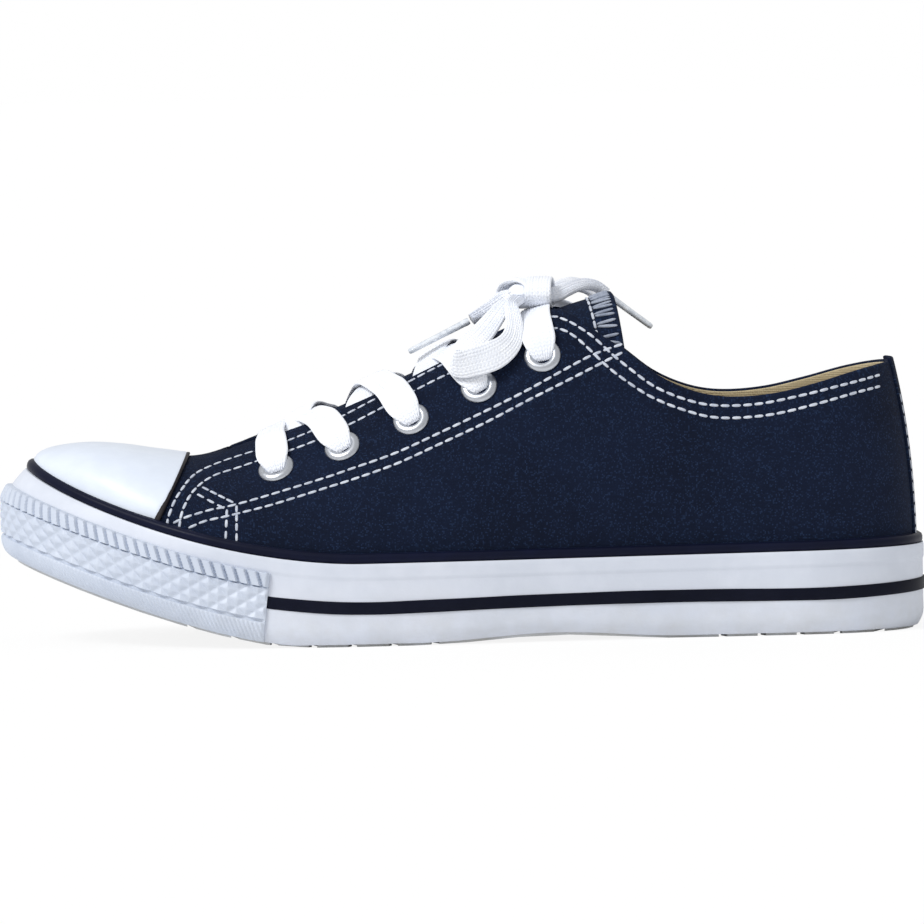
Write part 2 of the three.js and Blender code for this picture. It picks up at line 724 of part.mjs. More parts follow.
const middle = new THREE.Group(); // the bow's places are from the middle of the length
group.add(middle);
addTo(middle, "knot", makeKnot(), "lace");
for (const [name, route] of Object.entries(BOW)) {
  const cord = tube(route, LACE.round, route.length + 2);
  addTo(middle, name, cord, "lace");
}
for (const [name, { from, to }] of Object.entries(TIPS)) {
  addTo(middle, name, tube([from, to], TIP_RADIUS, 1), "lace");
}

export default group;
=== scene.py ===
"""A low canvas sneaker for the left foot: rubber sole and toe cap, canvas upper, flat laces in a bow.

The toe points to -X and the outer side of the foot to -Y. Sizes are in millimetres, measured from the
toe where a name says so, and turned into metres when a mesh is made.
"""

from __future__ import annotations

import sys

import logging
import math
from dataclasses import dataclass, field
from enum import Enum
from typing import Callable, NamedTuple, Sequence

import bmesh
import bpy
import numpy as np
from mathutils import Matrix, Vector
from mathutils.bvhtree import BVHTree


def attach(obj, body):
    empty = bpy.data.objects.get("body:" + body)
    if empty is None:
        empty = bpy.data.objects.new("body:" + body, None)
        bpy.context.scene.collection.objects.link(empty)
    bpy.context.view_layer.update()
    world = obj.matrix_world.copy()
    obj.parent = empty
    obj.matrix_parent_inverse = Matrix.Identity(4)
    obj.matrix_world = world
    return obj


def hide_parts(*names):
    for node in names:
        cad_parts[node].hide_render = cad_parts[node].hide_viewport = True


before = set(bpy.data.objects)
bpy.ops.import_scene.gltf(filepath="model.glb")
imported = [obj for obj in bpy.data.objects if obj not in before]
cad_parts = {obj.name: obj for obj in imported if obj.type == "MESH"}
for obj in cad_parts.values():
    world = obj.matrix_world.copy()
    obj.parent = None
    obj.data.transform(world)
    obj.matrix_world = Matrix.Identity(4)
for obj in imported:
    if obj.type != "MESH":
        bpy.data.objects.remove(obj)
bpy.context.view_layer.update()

log = logging.getLogger("sneaker")

MM = 0.001
BODY = "root"
LENGTH = 282.0
GREY = (0.5, 0.5, 0.5, 1.0)
Array = np.ndarray


class Side(Enum):
    """The two sides of the foot, and the sign of Y on each."""

    OUTER = -1
    INNER = 1


class PlanRow(NamedTuple):
    """The sole's outline from above: half its width, and how far its middle lies towards the inner side."""

    from_toe: float
    half: float
    middle: float


class SectionRow(NamedTuple):
    """The last's section: the height of the crown and the powers of its curve."""

    from_toe: float
    crown: float
    across: float
    up: float


class EdgeRow(NamedTuple):
    """A point of a line seen from the side."""

    from_toe: float
    height: float


def table(kind: type, *rows: tuple) -> tuple:
    """Returns a table from its rows, each of which gives the columns that the kind names in their order."""
    return tuple(kind(*row) for row in rows)


PLAN = table(
    PlanRow,
    (0, 40, 8), (30, 44, 5.7), (60, 48.3, 2.6), (90, 50.6, 0.1), (112, 49.4, -1.8),
    (140, 44.2, -3.8), (170, 39.2, -4), (200, 37, -2.5), (235, 36.6, -0.6), (282, 36, 0),
)
SECTIONS = table(
    SectionRow,
    (0, 59.5, 2, 6), (16, 60.3, 2, 4.6), (28, 60.2, 2, 3.8), (38, 58.9, 1.95, 3),
    (50, 56.8, 1.88, 2.3), (62, 56.6, 1.8, 1.8), (74, 60.4, 1.76, 1.56), (88, 66.6, 1.76, 1.5),
    (108, 75.6, 1.82, 1.55), (135, 87.4, 2.1, 1.75), (170, 102, 2.5, 2), (187, 107.6, 2.45, 2.02),
    (205, 118, 2.35, 2), (232, 136, 2.2, 2), (282, 140, 2.2, 2),
)
# The quarter's whole edge: up behind the toe cap, along the throat to its corner, and round the collar.
QUARTER_EDGE = table(
    EdgeRow,
    (51, 33.5), (52.6, 40), (56.5, 48.6), (62, 53.6), (69, 57.2), (78, 60.4),
    (88, 63.2), (98, 66.7), (108.5, 71), (121, 76.4), (135, 83), (148, 88.9),
    (160, 94.4), (167, 97.8), (170.6, 98.9), (174.4, 97.8), (178.4, 95.3), (184, 91),
    (191, 86.4), (201.5, 78.2), (212, 73.4), (222, 71.6), (235, 72.2), (248, 74.9),
    (261, 78.4), (272, 80.6), (282, 81.6),
)
# The lower edge of the lower navy line, on the outer and the inner side alike.
LOWER_LINE = table(
    EdgeRow,
    (78, 12.6), (87, 11.4), (101, 10.1), (114, 9.7), (128, 9.9), (142, 10.2),
    (156, 10.5), (183, 10.8), (211, 10.8), (238, 10.5), (252, 10.5), (266, 10.9),
    (282, 11.6),
)


class Curve:
    """A smooth curve through a table's column, by distance from the toe."""

    def __init__(self, rows: Sequence[NamedTuple], column: str) -> None:
        """Args: rows: the table. column: the name of the column that the curve goes through."""
        self.x = np.array([row.from_toe for row in rows], float)
        self.y = np.array([getattr(row, column) for row in rows], float)
        last = len(self.x) - 1
        below = np.maximum(np.arange(last + 1) - 1, 0)
        above = np.minimum(np.arange(last + 1) + 1, last)
        self.slope = (self.y[above] - self.y[below]) / (self.x[above] - self.x[below])

    def __call__(self, s: Array | float) -> Array:
        """Returns the curve's value at each distance from the toe."""
        s = np.asarray(s, float)
        i = np.clip(np.searchsorted(self.x, s, side="right") - 1, 0, len(self.x) - 2)
        step = self.x[i + 1] - self.x[i]
        t = np.clip((s - self.x[i]) / step, 0, 1)
        ease = t * t * (3 - 2 * t)
        bend = self.slope[i] * t * (1 - t) ** 2 + self.slope[i + 1] * t * t * (t - 1)
        return self.y[i] * (1 - ease) + self.y[i + 1] * ease + step * bend


@dataclass(frozen=True)
class Spring:
    """A rise towards the toe that starts at a distance from it."""

    rise: float
    starts: float
    power: float

    def at(self, s: Array) -> Array:
        """Returns the rise at each distance from the toe."""
        share = np.clip((self.starts - np.asarray(s, float)) / self.starts, 0, 1)
        return self.rise * share**self.power


@dataclass(frozen=True)
class ShoeForm:
    """The last and the sole's lines, as functions of the distance from the toe."""

    foxing_thick: float = 2.7
    gap: float = 0.3
    tip: float = 1.9
    rim_depth: float = 2.0
    foxing_height: float = 25.0
    edge_round: float = 1.8
    toe_fan: float = 78.0
    heel_fan: float = 228.0
    fan_blend: float = 12.0
    toe_round: tuple[float, float] = (75.0, 2.3)
    heel_round: tuple[float, float] = (44.0, 2.3)
    arch: tuple[float, float, float] = (1.9, 128.0, 208.0)
    heel_rise: tuple[float, float] = (150.0, 0.8)
    bed: tuple[float, float, float, float] = (115.0, 215.0, 8.0, 5.0)
    toe_spring: Spring = Spring(27.1, 90, 1.38)
    foxing_spring: Spring = Spring(28.8, 110, 1.76)
    toe_lean: Spring = Spring(6.6, 78, 1.5)
    half: Curve = field(default_factory=lambda: Curve(PLAN, "half"))
    middle: Curve = field(default_factory=lambda: Curve(PLAN, "middle"))
    crown: Curve = field(default_factory=lambda: Curve(SECTIONS, "crown"))
    across: Curve = field(default_factory=lambda: Curve(SECTIONS, "across"))
    up: Curve = field(default_factory=lambda: Curve(SECTIONS, "up"))

    def underside(self, s: Array) -> Array:
        """Returns the height of the tread, with toe spring and arch."""
        rise, start, end = self.arch
        t = np.clip((np.asarray(s, float) - start) / (end - start), 0, 1)
        return self.toe_spring.at(s) + rise * np.sin(np.pi * t) ** 2

    def foxing_top(self, s: Array) -> Array:
        """Returns the height of the rubber wall's upper edge."""
        start, rise = self.heel_rise
        back = np.clip((np.asarray(s, float) - start) / (LENGTH - start), 0, 1)
        return self.foxing_height + self.foxing_spring.at(s) + rise * back**2

    def footbed(self, s: Array) -> Array:
        """Returns the height of the face that the insole lies on."""
        start, end, low, rise = self.bed
        t = np.clip((np.asarray(s, float) - start) / (end - start), 0, 1)
        return self.toe_spring.at(s) + low + rise * t * t * (3 - 2 * t)

    def rim_inset(self, s: Array) -> Array:
        """Returns how far inside the sole's outline the upper starts."""
        return self.foxing_thick + self.gap + self.toe_lean.at(s)

    def station(self, u: Array) -> Array:
        """Returns the distance from the toe of station u, from 0 at the heel to 1 at the toe."""
        return self.tip + (LENGTH - self.tip) * 0.5 * (1 + np.cos(np.pi * np.asarray(u, float)))

    def station_of(self, s: Array) -> Array:
        """Returns the station at a distance from the toe."""
        share = 2 * (np.asarray(s, float) - self.tip) / (LENGTH - self.tip) - 1
        return np.arccos(np.clip(share, -1, 1)) / np.pi

    def outline(self, u: Array, side: Array) -> Array:
        """Returns the sole's outline from above at each station and side."""
        s = self.station(u)
        long, power = self.toe_round
        toe = np.clip((self.tip + long - s) / long, 0, 1)
        rounding = np.maximum(1 - toe**power, 0) ** (1 / power)
        long, power = self.heel_round
        heel = np.clip((s - (LENGTH - long)) / long, 0, 1)
        rounding = rounding * np.maximum(1 - heel**power, 0) ** (1 / power)
        return np.stack([s, self.middle(s) + side * self.half(s) * rounding], -1)

    def inset(self, u: Array, side: Array, by: Array) -> Array:
        """Returns the outline moved inwards, square to itself.

        Args:
            u: stations.
            side: -1 or 1 for each station.
            by: how far inwards.

        Returns:
            Points from above, one for each station.
        """
        u, side, by = np.broadcast_arrays(np.asarray(u, float), side, by)
        here = self.outline(u, side)
        step = np.maximum(np.minimum(1e-3, np.minimum(u, 1 - u) / 2), 1e-7)
        run = self.outline(np.minimum(u + step, 1), side) - self.outline(np.maximum(u - step, 0), side)
        run = run / np.linalg.norm(run, axis=-1, keepdims=True)
        moved = here + np.stack([-run[..., 1], run[..., 0]], -1) * (by * side)[..., None]
        ends = np.stack([here[..., 0] + np.where(u <= 1e-6, -by, by), here[..., 1]], -1)
        at_end = (u <= 1e-6) | (u >= 1 - 1e-6)
        return np.where(at_end[..., None], ends, moved)

    def rib_top(self, s: Array) -> Array:
        """Returns where the rib that starts at s meets the crown: the toe's and the heel's ribs fan out."""

        def larger(a: Array, b: Array) -> Array:
            d = a - b
            blend = b + (d + self.fan_blend) ** 2 / (4 * self.fan_blend)
            return np.where(np.abs(d) >= self.fan_blend, np.maximum(a, b), blend)

        forward = larger(np.asarray(s, float), np.full_like(s, self.toe_fan))
        return -larger(-forward, np.full_like(s, -self.heel_fan))

    def surface(self, u: Array, side: Array, turn: Array) -> Array:
        """Returns points of the last.

        Args:
            u: stations.
            side: -1 or 1.
            turn: from 0 at the rim to 1 on the crown.

        Returns:
            Points, in millimetres from the toe.
        """
        u, side, turn = np.broadcast_arrays(np.asarray(u, float), side, turn)
        s = self.station(u)
        foot = self.inset(u, side, self.rim_inset(s))
        top_s = self.rib_top(s)
        top = np.stack([top_s, self.middle(top_s)], -1)
        angle = turn * np.pi / 2
        inwards = 1 - np.cos(angle) ** (2 / self.across(s))
        plan = foot + (top - foot) * inwards[..., None]
        rim = self.foxing_top(s) - self.rim_depth
        share = np.sin(angle) ** (2 / self.up(s))
        height = rim + (self.crown(plan[..., 0]) - rim) * share
        return np.concatenate([plan, height[..., None]], -1)


FORM = ShoeForm()


class Ribs:
    """Ribs of the last at chosen stations, which can be cut and read at any length along them."""

    DENSE = 260

    def __init__(self, u: Array, side: Array) -> None:
        """Args: u: stations. side: -1 or 1 for each."""
        self.u = np.asarray(u, float)
        self.side = np.broadcast_to(np.asarray(side, float), self.u.shape)
        turn = np.linspace(0, 1, self.DENSE) ** 1.8
        self.points = FORM.surface(self.u[:, None], self.side[:, None], turn[None, :])
        steps = np.linalg.norm(np.diff(self.points, axis=1), axis=-1)
        self.arc = np.concatenate([np.zeros((len(self.u), 1)), np.cumsum(steps, axis=1)], 1)

    def whole(self) -> Array:
        """Returns each rib's length from the rim to the crown."""
        return self.arc[:, -1]

    def cut(self, edge: Curve) -> Array:
        """Returns the length along each rib at which it first rises over a line drawn from the side."""
        over = self.points[..., 2] - edge(self.points[..., 0])
        first = np.argmax(over >= 0, axis=1)
        lengths = self.whole().copy()
        for k, i in enumerate(first):
            if over[k].max() < 0:
                continue
            if i == 0:
                lengths[k] = 0
                continue
            lengths[k] = self.crossing(k, over[k], i)
        return lengths

    def crossing(self, rib: int, values: Array, i: int) -> float:
        """Returns the length along a rib at which a value is 0, between its points i - 1 and i."""
        share = values[i - 1] / (values[i - 1] - values[i])
        return self.arc[rib, i - 1] + share * (self.arc[rib, i] - self.arc[rib, i - 1])

    def read(self, lengths: Array) -> Array:
        """Returns points at lengths along the ribs, given as rows of one length for each rib."""
        out = np.empty((*lengths.shape, 3))
        for k in range(len(self.u)):
            for axis in range(3):
                out[:, k, axis] = np.interp(lengths[:, k], self.arc[k], self.points[k, :, axis])
        return out


def unit(v: Array) -> Array:
    """Returns vectors of length one."""
    return v / np.maximum(np.linalg.norm(v, axis=-1, keepdims=True), 1e-12)


def lengths_along(line: Array) -> Array:
    """Returns the length along a line at each of its points."""
    return np.concatenate([[0], np.cumsum(np.linalg.norm(np.diff(line, axis=0), axis=1))])


def length_of(line: Array) -> float:
    """Returns a line's whole length."""
    return np.linalg.norm(np.diff(line, axis=0), axis=1).sum()


def in_frame(points: Array) -> Array:
    """Returns points given in millimetres from the toe as metres from the frame's origin."""
    return (points - np.array([LENGTH / 2, 0, 0])) * MM


def from_origin(points: Sequence[Sequence[float]]) -> Array:
    """Returns points given in metres from the frame's origin as millimetres from the toe."""
    return np.asarray(points, float) / MM + np.array([LENGTH / 2, 0, 0])


def linked(name: str, data: bpy.types.ID) -> bpy.types.Object:
    """Returns a new object for some data, linked to the scene."""
    made = bpy.data.objects.new(name, data)
    bpy.context.scene.collection.objects.link(made)
    return made


def grid_normals(points: Array, outwards: Callable[[Array], Array] | None = None) -> Array:
    """Returns the normals of a grid of points.

    Args:
        points: rows by columns by 3.
        outwards: gives for each point a direction that its normal should agree with.

    Returns:
        Unit normals, pointing away from the shoe's inside.
    """
    normal = np.cross(np.gradient(points, axis=1), np.gradient(points, axis=0))
    length = np.linalg.norm(normal, axis=-1, keepdims=True)
    normal = np.where(length > 1e-9, normal / np.maximum(length, 1e-12), 0)
    if outwards is None:
        core = points.copy()
        core[..., 0] = np.clip(core[..., 0], FORM.toe_fan - 30, FORM.heel_fan)
        core[..., 1] = FORM.middle(core[..., 0])
        core[..., 2] = 30
        away = points - core
    else:
        away = outwards(points)
    flip = np.sign((normal * away).sum((-1)))[..., None]
    return normal * np.where(flip == 0, 1, flip)


class MeshBuilder:
    """Collects points and faces in millimetres from the toe and turns them into one object."""

    def __init__(self) -> None:
        """Starts with nothing."""
        self.points: list[Array] = []
        self.faces: list[tuple[int, ...]] = []
        self.uv: list[Array] = []
        self.count = 0

    def add_points(self, points: Array, uv: Array | None = None) -> int:
        """Adds points, with a place on the cloth for each, and returns the number of the first."""
        flat = points.reshape(-1, 3)
        first = self.count
        self.points.append(flat)
        self.uv.append(np.zeros((len(flat), 2)) if uv is None else uv.reshape(-1, 2))
        self.count += len(flat)
        return first

    def add_grid(self, points: Array, uv: Array | None = None, wrap: bool = False) -> int:
        """Adds a grid with its faces.

        Args:
            points: rows by columns by 3.
            uv: a place on the cloth for each point, in millimetres.
            wrap: whether the last column joins the first.

        Returns:
            The number of its first point.
        """
        rows, columns = points.shape[:2]
        first = self.add_points(points, uv)
        cells = columns if wrap else columns - 1
        for i in range(rows - 1):
            for j in range(cells):
                a = first + i * columns + j
                b = first + i * columns + (j + 1) % columns
                self.faces.append((a, b, b + columns, a + columns))
        return first

    def join_loops(self, one: Sequence[int], other: Sequence[int], closed: bool = True) -> None:
        """Joins two loops of points of the same count with quads."""
        n = len(one)
        for j in range(n if closed else n - 1):
            k = (j + 1) % n
            self.faces.append((one[j], one[k], other[k], other[j]))

    def close_rows(self, first: int, rows: int, columns: int) -> None:
        """Closes a tube laid out as a grid at its first and last row."""
        for i in (0, rows - 1):
            self.add_cap(range(first + i * columns, first + (i + 1) * columns))

    def close_columns(self, first: int, rows: int, columns: int) -> None:
        """Closes a tube laid out as a grid at its first and last column."""
        for j in (0, columns - 1):
            self.add_cap([first + i * columns + j for i in range(rows)])

    def add_cap(self, loop: Sequence[int]) -> None:
        """Closes a loop with a fan round its middle."""
        every = np.concatenate(self.points)
        middle = self.add_points(every[list(loop)].mean(0)[None])
        n = len(loop)
        for j in range(n):
            self.faces.append((loop[j], loop[(j + 1) % n], middle))

    def build(self, name: str, material: bpy.types.Material, sharp: float = 50.0) -> bpy.types.Object:
        """Makes the object, its faces pointing outwards.

        Args:
            name: the object's name.
            material: its only material.
            sharp: edges that turn by more than this many degrees stay sharp.

        Returns:
            The object, linked to the scene.
        """
        mesh = bpy.data.meshes.new(name)
        mesh.from_pydata(in_frame(np.concatenate(self.points)).tolist(), [], self.faces)
        layer = mesh.uv_layers.new(name="cloth")
        corners = np.empty(len(mesh.loops), np.int32)
        mesh.loops.foreach_get("vertex_index", corners)
        places = (np.concatenate(self.uv) * MM)[corners]
        layer.data.foreach_set("uv", places.astype(np.float32).ravel())
        mesh.materials.append(material)
        return finished(mesh, name, sharp)


def finished(mesh: bpy.types.Mesh, name: str, sharp: float) -> bpy.types.Object:
    """Merges doubles, turns faces outwards, smooths, and links an object for the mesh."""
    work = bmesh.new()
    work.from_mesh(mesh)
    bmesh.ops.remove_doubles(work, verts=work.verts, dist=1e-6)
    bmesh.ops.dissolve_degenerate(work, edges=work.edges, dist=1e-7)
    bmesh.ops.recalc_face_normals(work, faces=work.faces)
    work.to_mesh(mesh)
    work.free()
    mesh.shade_smooth()
    mesh.set_sharp_from_angle(angle=math.radians(sharp))
    return linked(name, mesh)


def shell(
    name: str,
    outer: Array,
    thick: float,
    material: bpy.types.Material,
    normals: Array | None = None,
    uv: Array | None = None,
    round_share: float = 0.45,
) -> bpy.types.Object:
    """Makes a sheet with a thickness and rounded edges.

    Args:
        name: the piece's name.
        outer: the outer face, rows by columns by 3.
        thick: how far inside it the inner face lies.
        material: the piece's material.
        normals: the outer face's normals, worked out if left out.
        uv: places on the cloth in millimetres, worked out if left out.
        round_share: how far the edge bulges, as a share of the thickness.

    Returns:
        The piece.
    """
    normals = grid_normals(outer) if normals is None else normals
    uv = cloth_places(outer) if uv is None else uv
    inner = outer - normals * thick
    rows, columns = outer.shape[:2]
    builder = MeshBuilder()
    first_outer = builder.add_grid(outer, uv)
    first_inner = builder.add_grid(inner, uv)
    loop = (
        [(0, j) for j in range(columns)]
        + [(i, columns - 1) for i in range(1, rows)]
        + [(rows - 1, j) for j in range(columns - 2, -1, -1)]
        + [(i, 0) for i in range(rows - 2, 0, -1)]
    )
    inside = [(min(max(i, 1), rows - 2), min(max(j, 1), columns - 2)) for i, j in loop]
    edge = np.array([outer[p] for p in loop])
    out = unit(edge - np.array([outer[p] for p in inside]))
    turned = np.array([normals[p] for p in loop])
    out = unit(out - turned * (out * turned).sum(-1, keepdims=True))
    places = np.array([uv[p] for p in loop])
    previous = [first_outer + i * columns + j for i, j in loop]
    for depth, bulge in ((0.15, 0.7), (0.5, 1.0), (0.85, 0.7)):
        ring = edge - turned * thick * depth + out * thick * round_share * bulge
        start = builder.add_points(ring, places)
        current = list(range(start, start + len(loop)))
        builder.join_loops(previous, current)
        previous = current
    builder.join_loops(previous, [first_inner + i * columns + j for i, j in loop])
    return builder.build(name, material)


def cloth_places(points: Array) -> Array:
    """Returns places on the cloth, in millimetres along the middle row and the columns of a grid."""
    rows = points.shape[0]
    along = lengths_along(points[rows // 2])
    up = np.linalg.norm(np.diff(points, axis=0), axis=-1)
    up = np.concatenate([np.zeros((1, points.shape[1])), np.cumsum(up, axis=0)], 0)
    return np.stack([np.broadcast_to(along, up.shape), up], -1)


# ---------------- finishes


class Tree:
    """A thin wrapper that adds and links nodes in a tree."""

    def __init__(self, tree: bpy.types.NodeTree) -> None:
        """Args: tree: a shader or geometry node tree."""
        self.tree = tree

    def add(self, kind: str, inputs: dict | None = None, **settings) -> bpy.types.Node:
        """Adds a node.

        Args:
            kind: the node's type name.
            inputs: for each input name or number, a value or a socket to link it from.
            **settings: properties of the node.

        Returns:
            The node.
        """
        node = self.tree.nodes.new(kind)
        for name, value in settings.items():
            setattr(node, name, value)
        for key, value in (inputs or {}).items():
            if isinstance(value, bpy.types.NodeSocket):
                self.tree.links.new(value, node.inputs[key])
            else:
                node.inputs[key].default_value = value
        return node

    def math(self, operation: str, *values, clamp: bool = False) -> bpy.types.NodeSocket:
        """Returns the output of a Math node over the values."""
        node = self.add("ShaderNodeMath", dict(enumerate(values)), operation=operation, use_clamp=clamp)
        return node.outputs[0]

    def times(self, one, other) -> bpy.types.NodeSocket:
        """Returns the product of two values."""
        return self.math("MULTIPLY", one, other)

    def vector(self, operation: str, inputs: dict) -> bpy.types.NodeSocket:
        """Returns the output of a Vector Math node over its inputs."""
        return self.add("ShaderNodeVectorMath", inputs, operation=operation).outputs[0]

    def mix(self, share, one, other) -> bpy.types.NodeSocket:
        """Returns one colour blended into another by a share."""
        node = self.add("ShaderNodeMix", {0: share, 6: one, 7: other}, data_type="RGBA")
        return node.outputs[2]

    def noise(self, place, scale, detail: float = 2.0, roughness: float = 0.5) -> bpy.types.NodeSocket:
        """Returns the value of a Noise texture at a place."""
        inputs = {"Vector": place, "Scale": scale, "Detail": detail, "Roughness": roughness}
        return self.add("ShaderNodeTexNoise", inputs).outputs["Fac"]

    def ramp(self, value, low, high, to_low: float = 0.0, to_high: float = 1.0) -> bpy.types.NodeSocket:
        """Returns a value stretched so that low and high become two other values, and kept between them."""
        inputs = {"Value": value, "From Min": low, "From Max": high, "To Min": to_low, "To Max": to_high}
        return self.add("ShaderNodeMapRange", inputs, clamp=True).outputs[0]


def colour(red: float, green: float, blue: float) -> tuple[float, float, float, float]:
    """Returns a linear colour from its display values of 0 to 255."""

    def linear(value: float) -> float:
        share = value / 255
        return share / 12.92 if share <= 0.04045 else ((share + 0.055) / 1.055) ** 2.4

    return (linear(red), linear(green), linear(blue), 1.0)


def shader_group(name: str, inputs: dict, outputs: dict[str, str]) -> tuple[Tree, bpy.types.Node]:
    """Starts a shader node group.

    Args:
        name: the group's name.
        inputs: a default for each input; a colour is four numbers, a place None.
        outputs: the socket type of each output.

    Returns:
        The group's tree and its input node.
    """
    group = bpy.data.node_groups.new(name, "ShaderNodeTree")
    for title, default in inputs.items():
        if default is None:
            kind = "NodeSocketVector"
        else:
            kind = "NodeSocketColor" if isinstance(default, tuple) else "NodeSocketFloat"
        socket = group.interface.new_socket(title, in_out="INPUT", socket_type=kind)
        if default is not None:
            socket.default_value = default
    for title, kind in outputs.items():
        group.interface.new_socket(title, in_out="OUTPUT", socket_type=kind)
    tree = Tree(group)
    return tree, tree.add("NodeGroupInput")


class Effects:
    """The shader groups that several materials use: plain weave, mottling and settled dust."""

    def __init__(self) -> None:
        """Builds the three groups."""
        self.weave = self._weave()
        self.mottle = self._mottle()
        self.dust = self._dust()

    @staticmethod
    def _weave() -> bpy.types.NodeTree:
        """Builds a plain weave: its threads' height, how deep its gaps are, and a value for each thread."""
        tree, given = shader_group(
            "weave",
            {"Place": None, "Threads": 900.0, "Slub": 0.5},
            {"Height": "NodeSocketFloat", "Gap": "NodeSocketFloat", "Thread": "NodeSocketFloat"},
        )
        place = given.outputs["Place"]
        warp = tree.add("ShaderNodeTexNoise", {"Vector": place, "Scale": 160.0, "Detail": 1.0})
        bent = tree.vector("SUBTRACT", {0: warp.outputs["Color"], 1: (0.5, 0.5, 0.5)})
        soft = tree.vector("SCALE", {0: bent, "Scale": 0.0006})
        place = tree.vector("ADD", {0: place, 1: soft})
        scaled = tree.vector("SCALE", {0: place, "Scale": given.outputs["Threads"]})
        axes = tree.add("ShaderNodeSeparateXYZ", {0: scaled})
        across, up = axes.outputs[0], axes.outputs[1]
        columns = tree.math("ABSOLUTE", tree.math("SINE", tree.times(across, math.pi)))
        rows = tree.math("ABSOLUTE", tree.math("SINE", tree.times(up, math.pi)))
        odd = tree.math("ADD", tree.math("FLOOR", across), tree.math("FLOOR", up))
        over = tree.math("PINGPONG", odd, 1.0)
        warp_thread = tree.times(columns, tree.math("ADD", tree.times(rows, 0.45), 0.55))
        weft_thread = tree.times(rows, tree.math("ADD", tree.times(columns, 0.45), 0.55))
        threads = {0: over, 2: warp_thread, 3: weft_thread}
        picked = tree.add("ShaderNodeMix", threads, data_type="FLOAT").outputs[0]
        slub = tree.noise(scaled, 0.35, 2.0)
        height = tree.math("ADD", picked, tree.times(slub, given.outputs["Slub"]))
        cell = tree.vector("FLOOR", {0: scaled})
        each = tree.add("ShaderNodeTexWhiteNoise", {"Vector": cell}, noise_dimensions="3D")
        # the gaps' depth, which the materials use as a mask for painted shade between the threads
        gap = tree.ramp(picked, 0.55, 0.1)
        out = {"Height": height, "Gap": gap, "Thread": each.outputs["Value"]}
        tree.add("NodeGroupOutput", out)
        return tree.tree

    @staticmethod
    def _mottle() -> bpy.types.NodeTree:
        """Builds slow colour changes: patches some centimetres wide and finer ones within them."""
        inputs = {"Place": None, "Base": GREY, "Other": GREY, "Amount": 0.5, "Size": 30.0}
        tree, given = shader_group("mottle", inputs, {"Color": "NodeSocketColor"})
        broad = tree.noise(given.outputs["Place"], given.outputs["Size"], 3.0)
        fine = tree.noise(given.outputs["Place"], tree.times(given.outputs["Size"], 9.0), 2.0)
        both = tree.math("ADD", tree.times(broad, 0.7), tree.times(fine, 0.3))
        mask = tree.times(tree.ramp(both, 0.4, 0.62), given.outputs["Amount"])
        toned = tree.mix(mask, given.outputs["Base"], given.outputs["Other"])
        tree.add("NodeGroupOutput", {"Color": toned})
        return tree.tree

    @staticmethod
    def _dust() -> bpy.types.NodeTree:
        """Builds a thin deposit that gathers low down on the shoe."""
        inputs = {"Place": None, "Base": GREY, "Dust": GREY, "Low": 0.0, "High": 0.02, "Amount": 0.3}
        tree, given = shader_group("dust", inputs, {"Color": "NodeSocketColor"})
        height = tree.add("ShaderNodeSeparateXYZ", {0: given.outputs["Place"]}).outputs[2]
        low = tree.ramp(height, given.outputs["High"], given.outputs["Low"])
        broken = tree.ramp(tree.noise(given.outputs["Place"], 90.0, 4.0, 0.65), 0.35, 0.7)
        share = tree.times(tree.times(low, broken), given.outputs["Amount"])
        toned = tree.mix(share, given.outputs["Base"], given.outputs["Dust"])
        tree.add("NodeGroupOutput", {"Color": toned})
        return tree.tree


class Material:
    """A material being put together: its tree, its shader, and the shared groups placed in it."""

    def __init__(self, name: str, effects: Effects) -> None:
        """Args: name: the material's name. effects: the shared groups."""
        self.material = bpy.data.materials.new(name)
        self.material.use_nodes = True
        self.effects = effects
        self.tree = Tree(self.material.node_tree)
        self.shader = self.material.node_tree.nodes["Principled BSDF"]
        self.coordinates = self.tree.add("ShaderNodeTexCoord")

    @property
    def place(self) -> bpy.types.NodeSocket:
        """The place on the object, in metres."""
        return self.coordinates.outputs["Object"]

    @property
    def cloth(self) -> bpy.types.NodeSocket:
        """The place on the cloth, in metres."""
        return self.coordinates.outputs["UV"]

    def group(self, group: bpy.types.NodeTree, inputs: dict) -> bpy.types.Node:
        """Places a shared group."""
        return self.tree.add("ShaderNodeGroup", inputs, node_tree=group)

    def mottled(self, base: tuple, other: tuple, amount: float, size: float) -> bpy.types.NodeSocket:
        """Returns a colour that drifts towards another one over the piece."""
        inputs = {"Place": self.place, "Base": base, "Other": other, "Amount": amount, "Size": size}
        return self.group(self.effects.mottle, inputs).outputs["Color"]

    def set(self, **values) -> None:
        """Sets plain values of the shader, the underscores of a name standing for spaces."""
        for name, value in values.items():
            self.shader.inputs[name.replace("_", " ")].default_value = value

    def link(self, name: str, socket: bpy.types.NodeSocket) -> None:
        """Links a socket to an input of the shader."""
        self.tree.tree.links.new(socket, self.shader.inputs[name])

    def bump(self, height: bpy.types.NodeSocket, distance: float, strength: float = 1.0) -> None:
        """Adds a bump to the shader's normal, on top of the last one."""
        inputs = {"Height": height, "Distance": distance, "Strength": strength}
        node = self.tree.add("ShaderNodeBump", inputs)
        now = self.shader.inputs["Normal"]
        if now.is_linked:
            self.tree.tree.links.new(now.links[0].from_socket, node.inputs["Normal"])
        self.tree.tree.links.new(node.outputs[0], now)


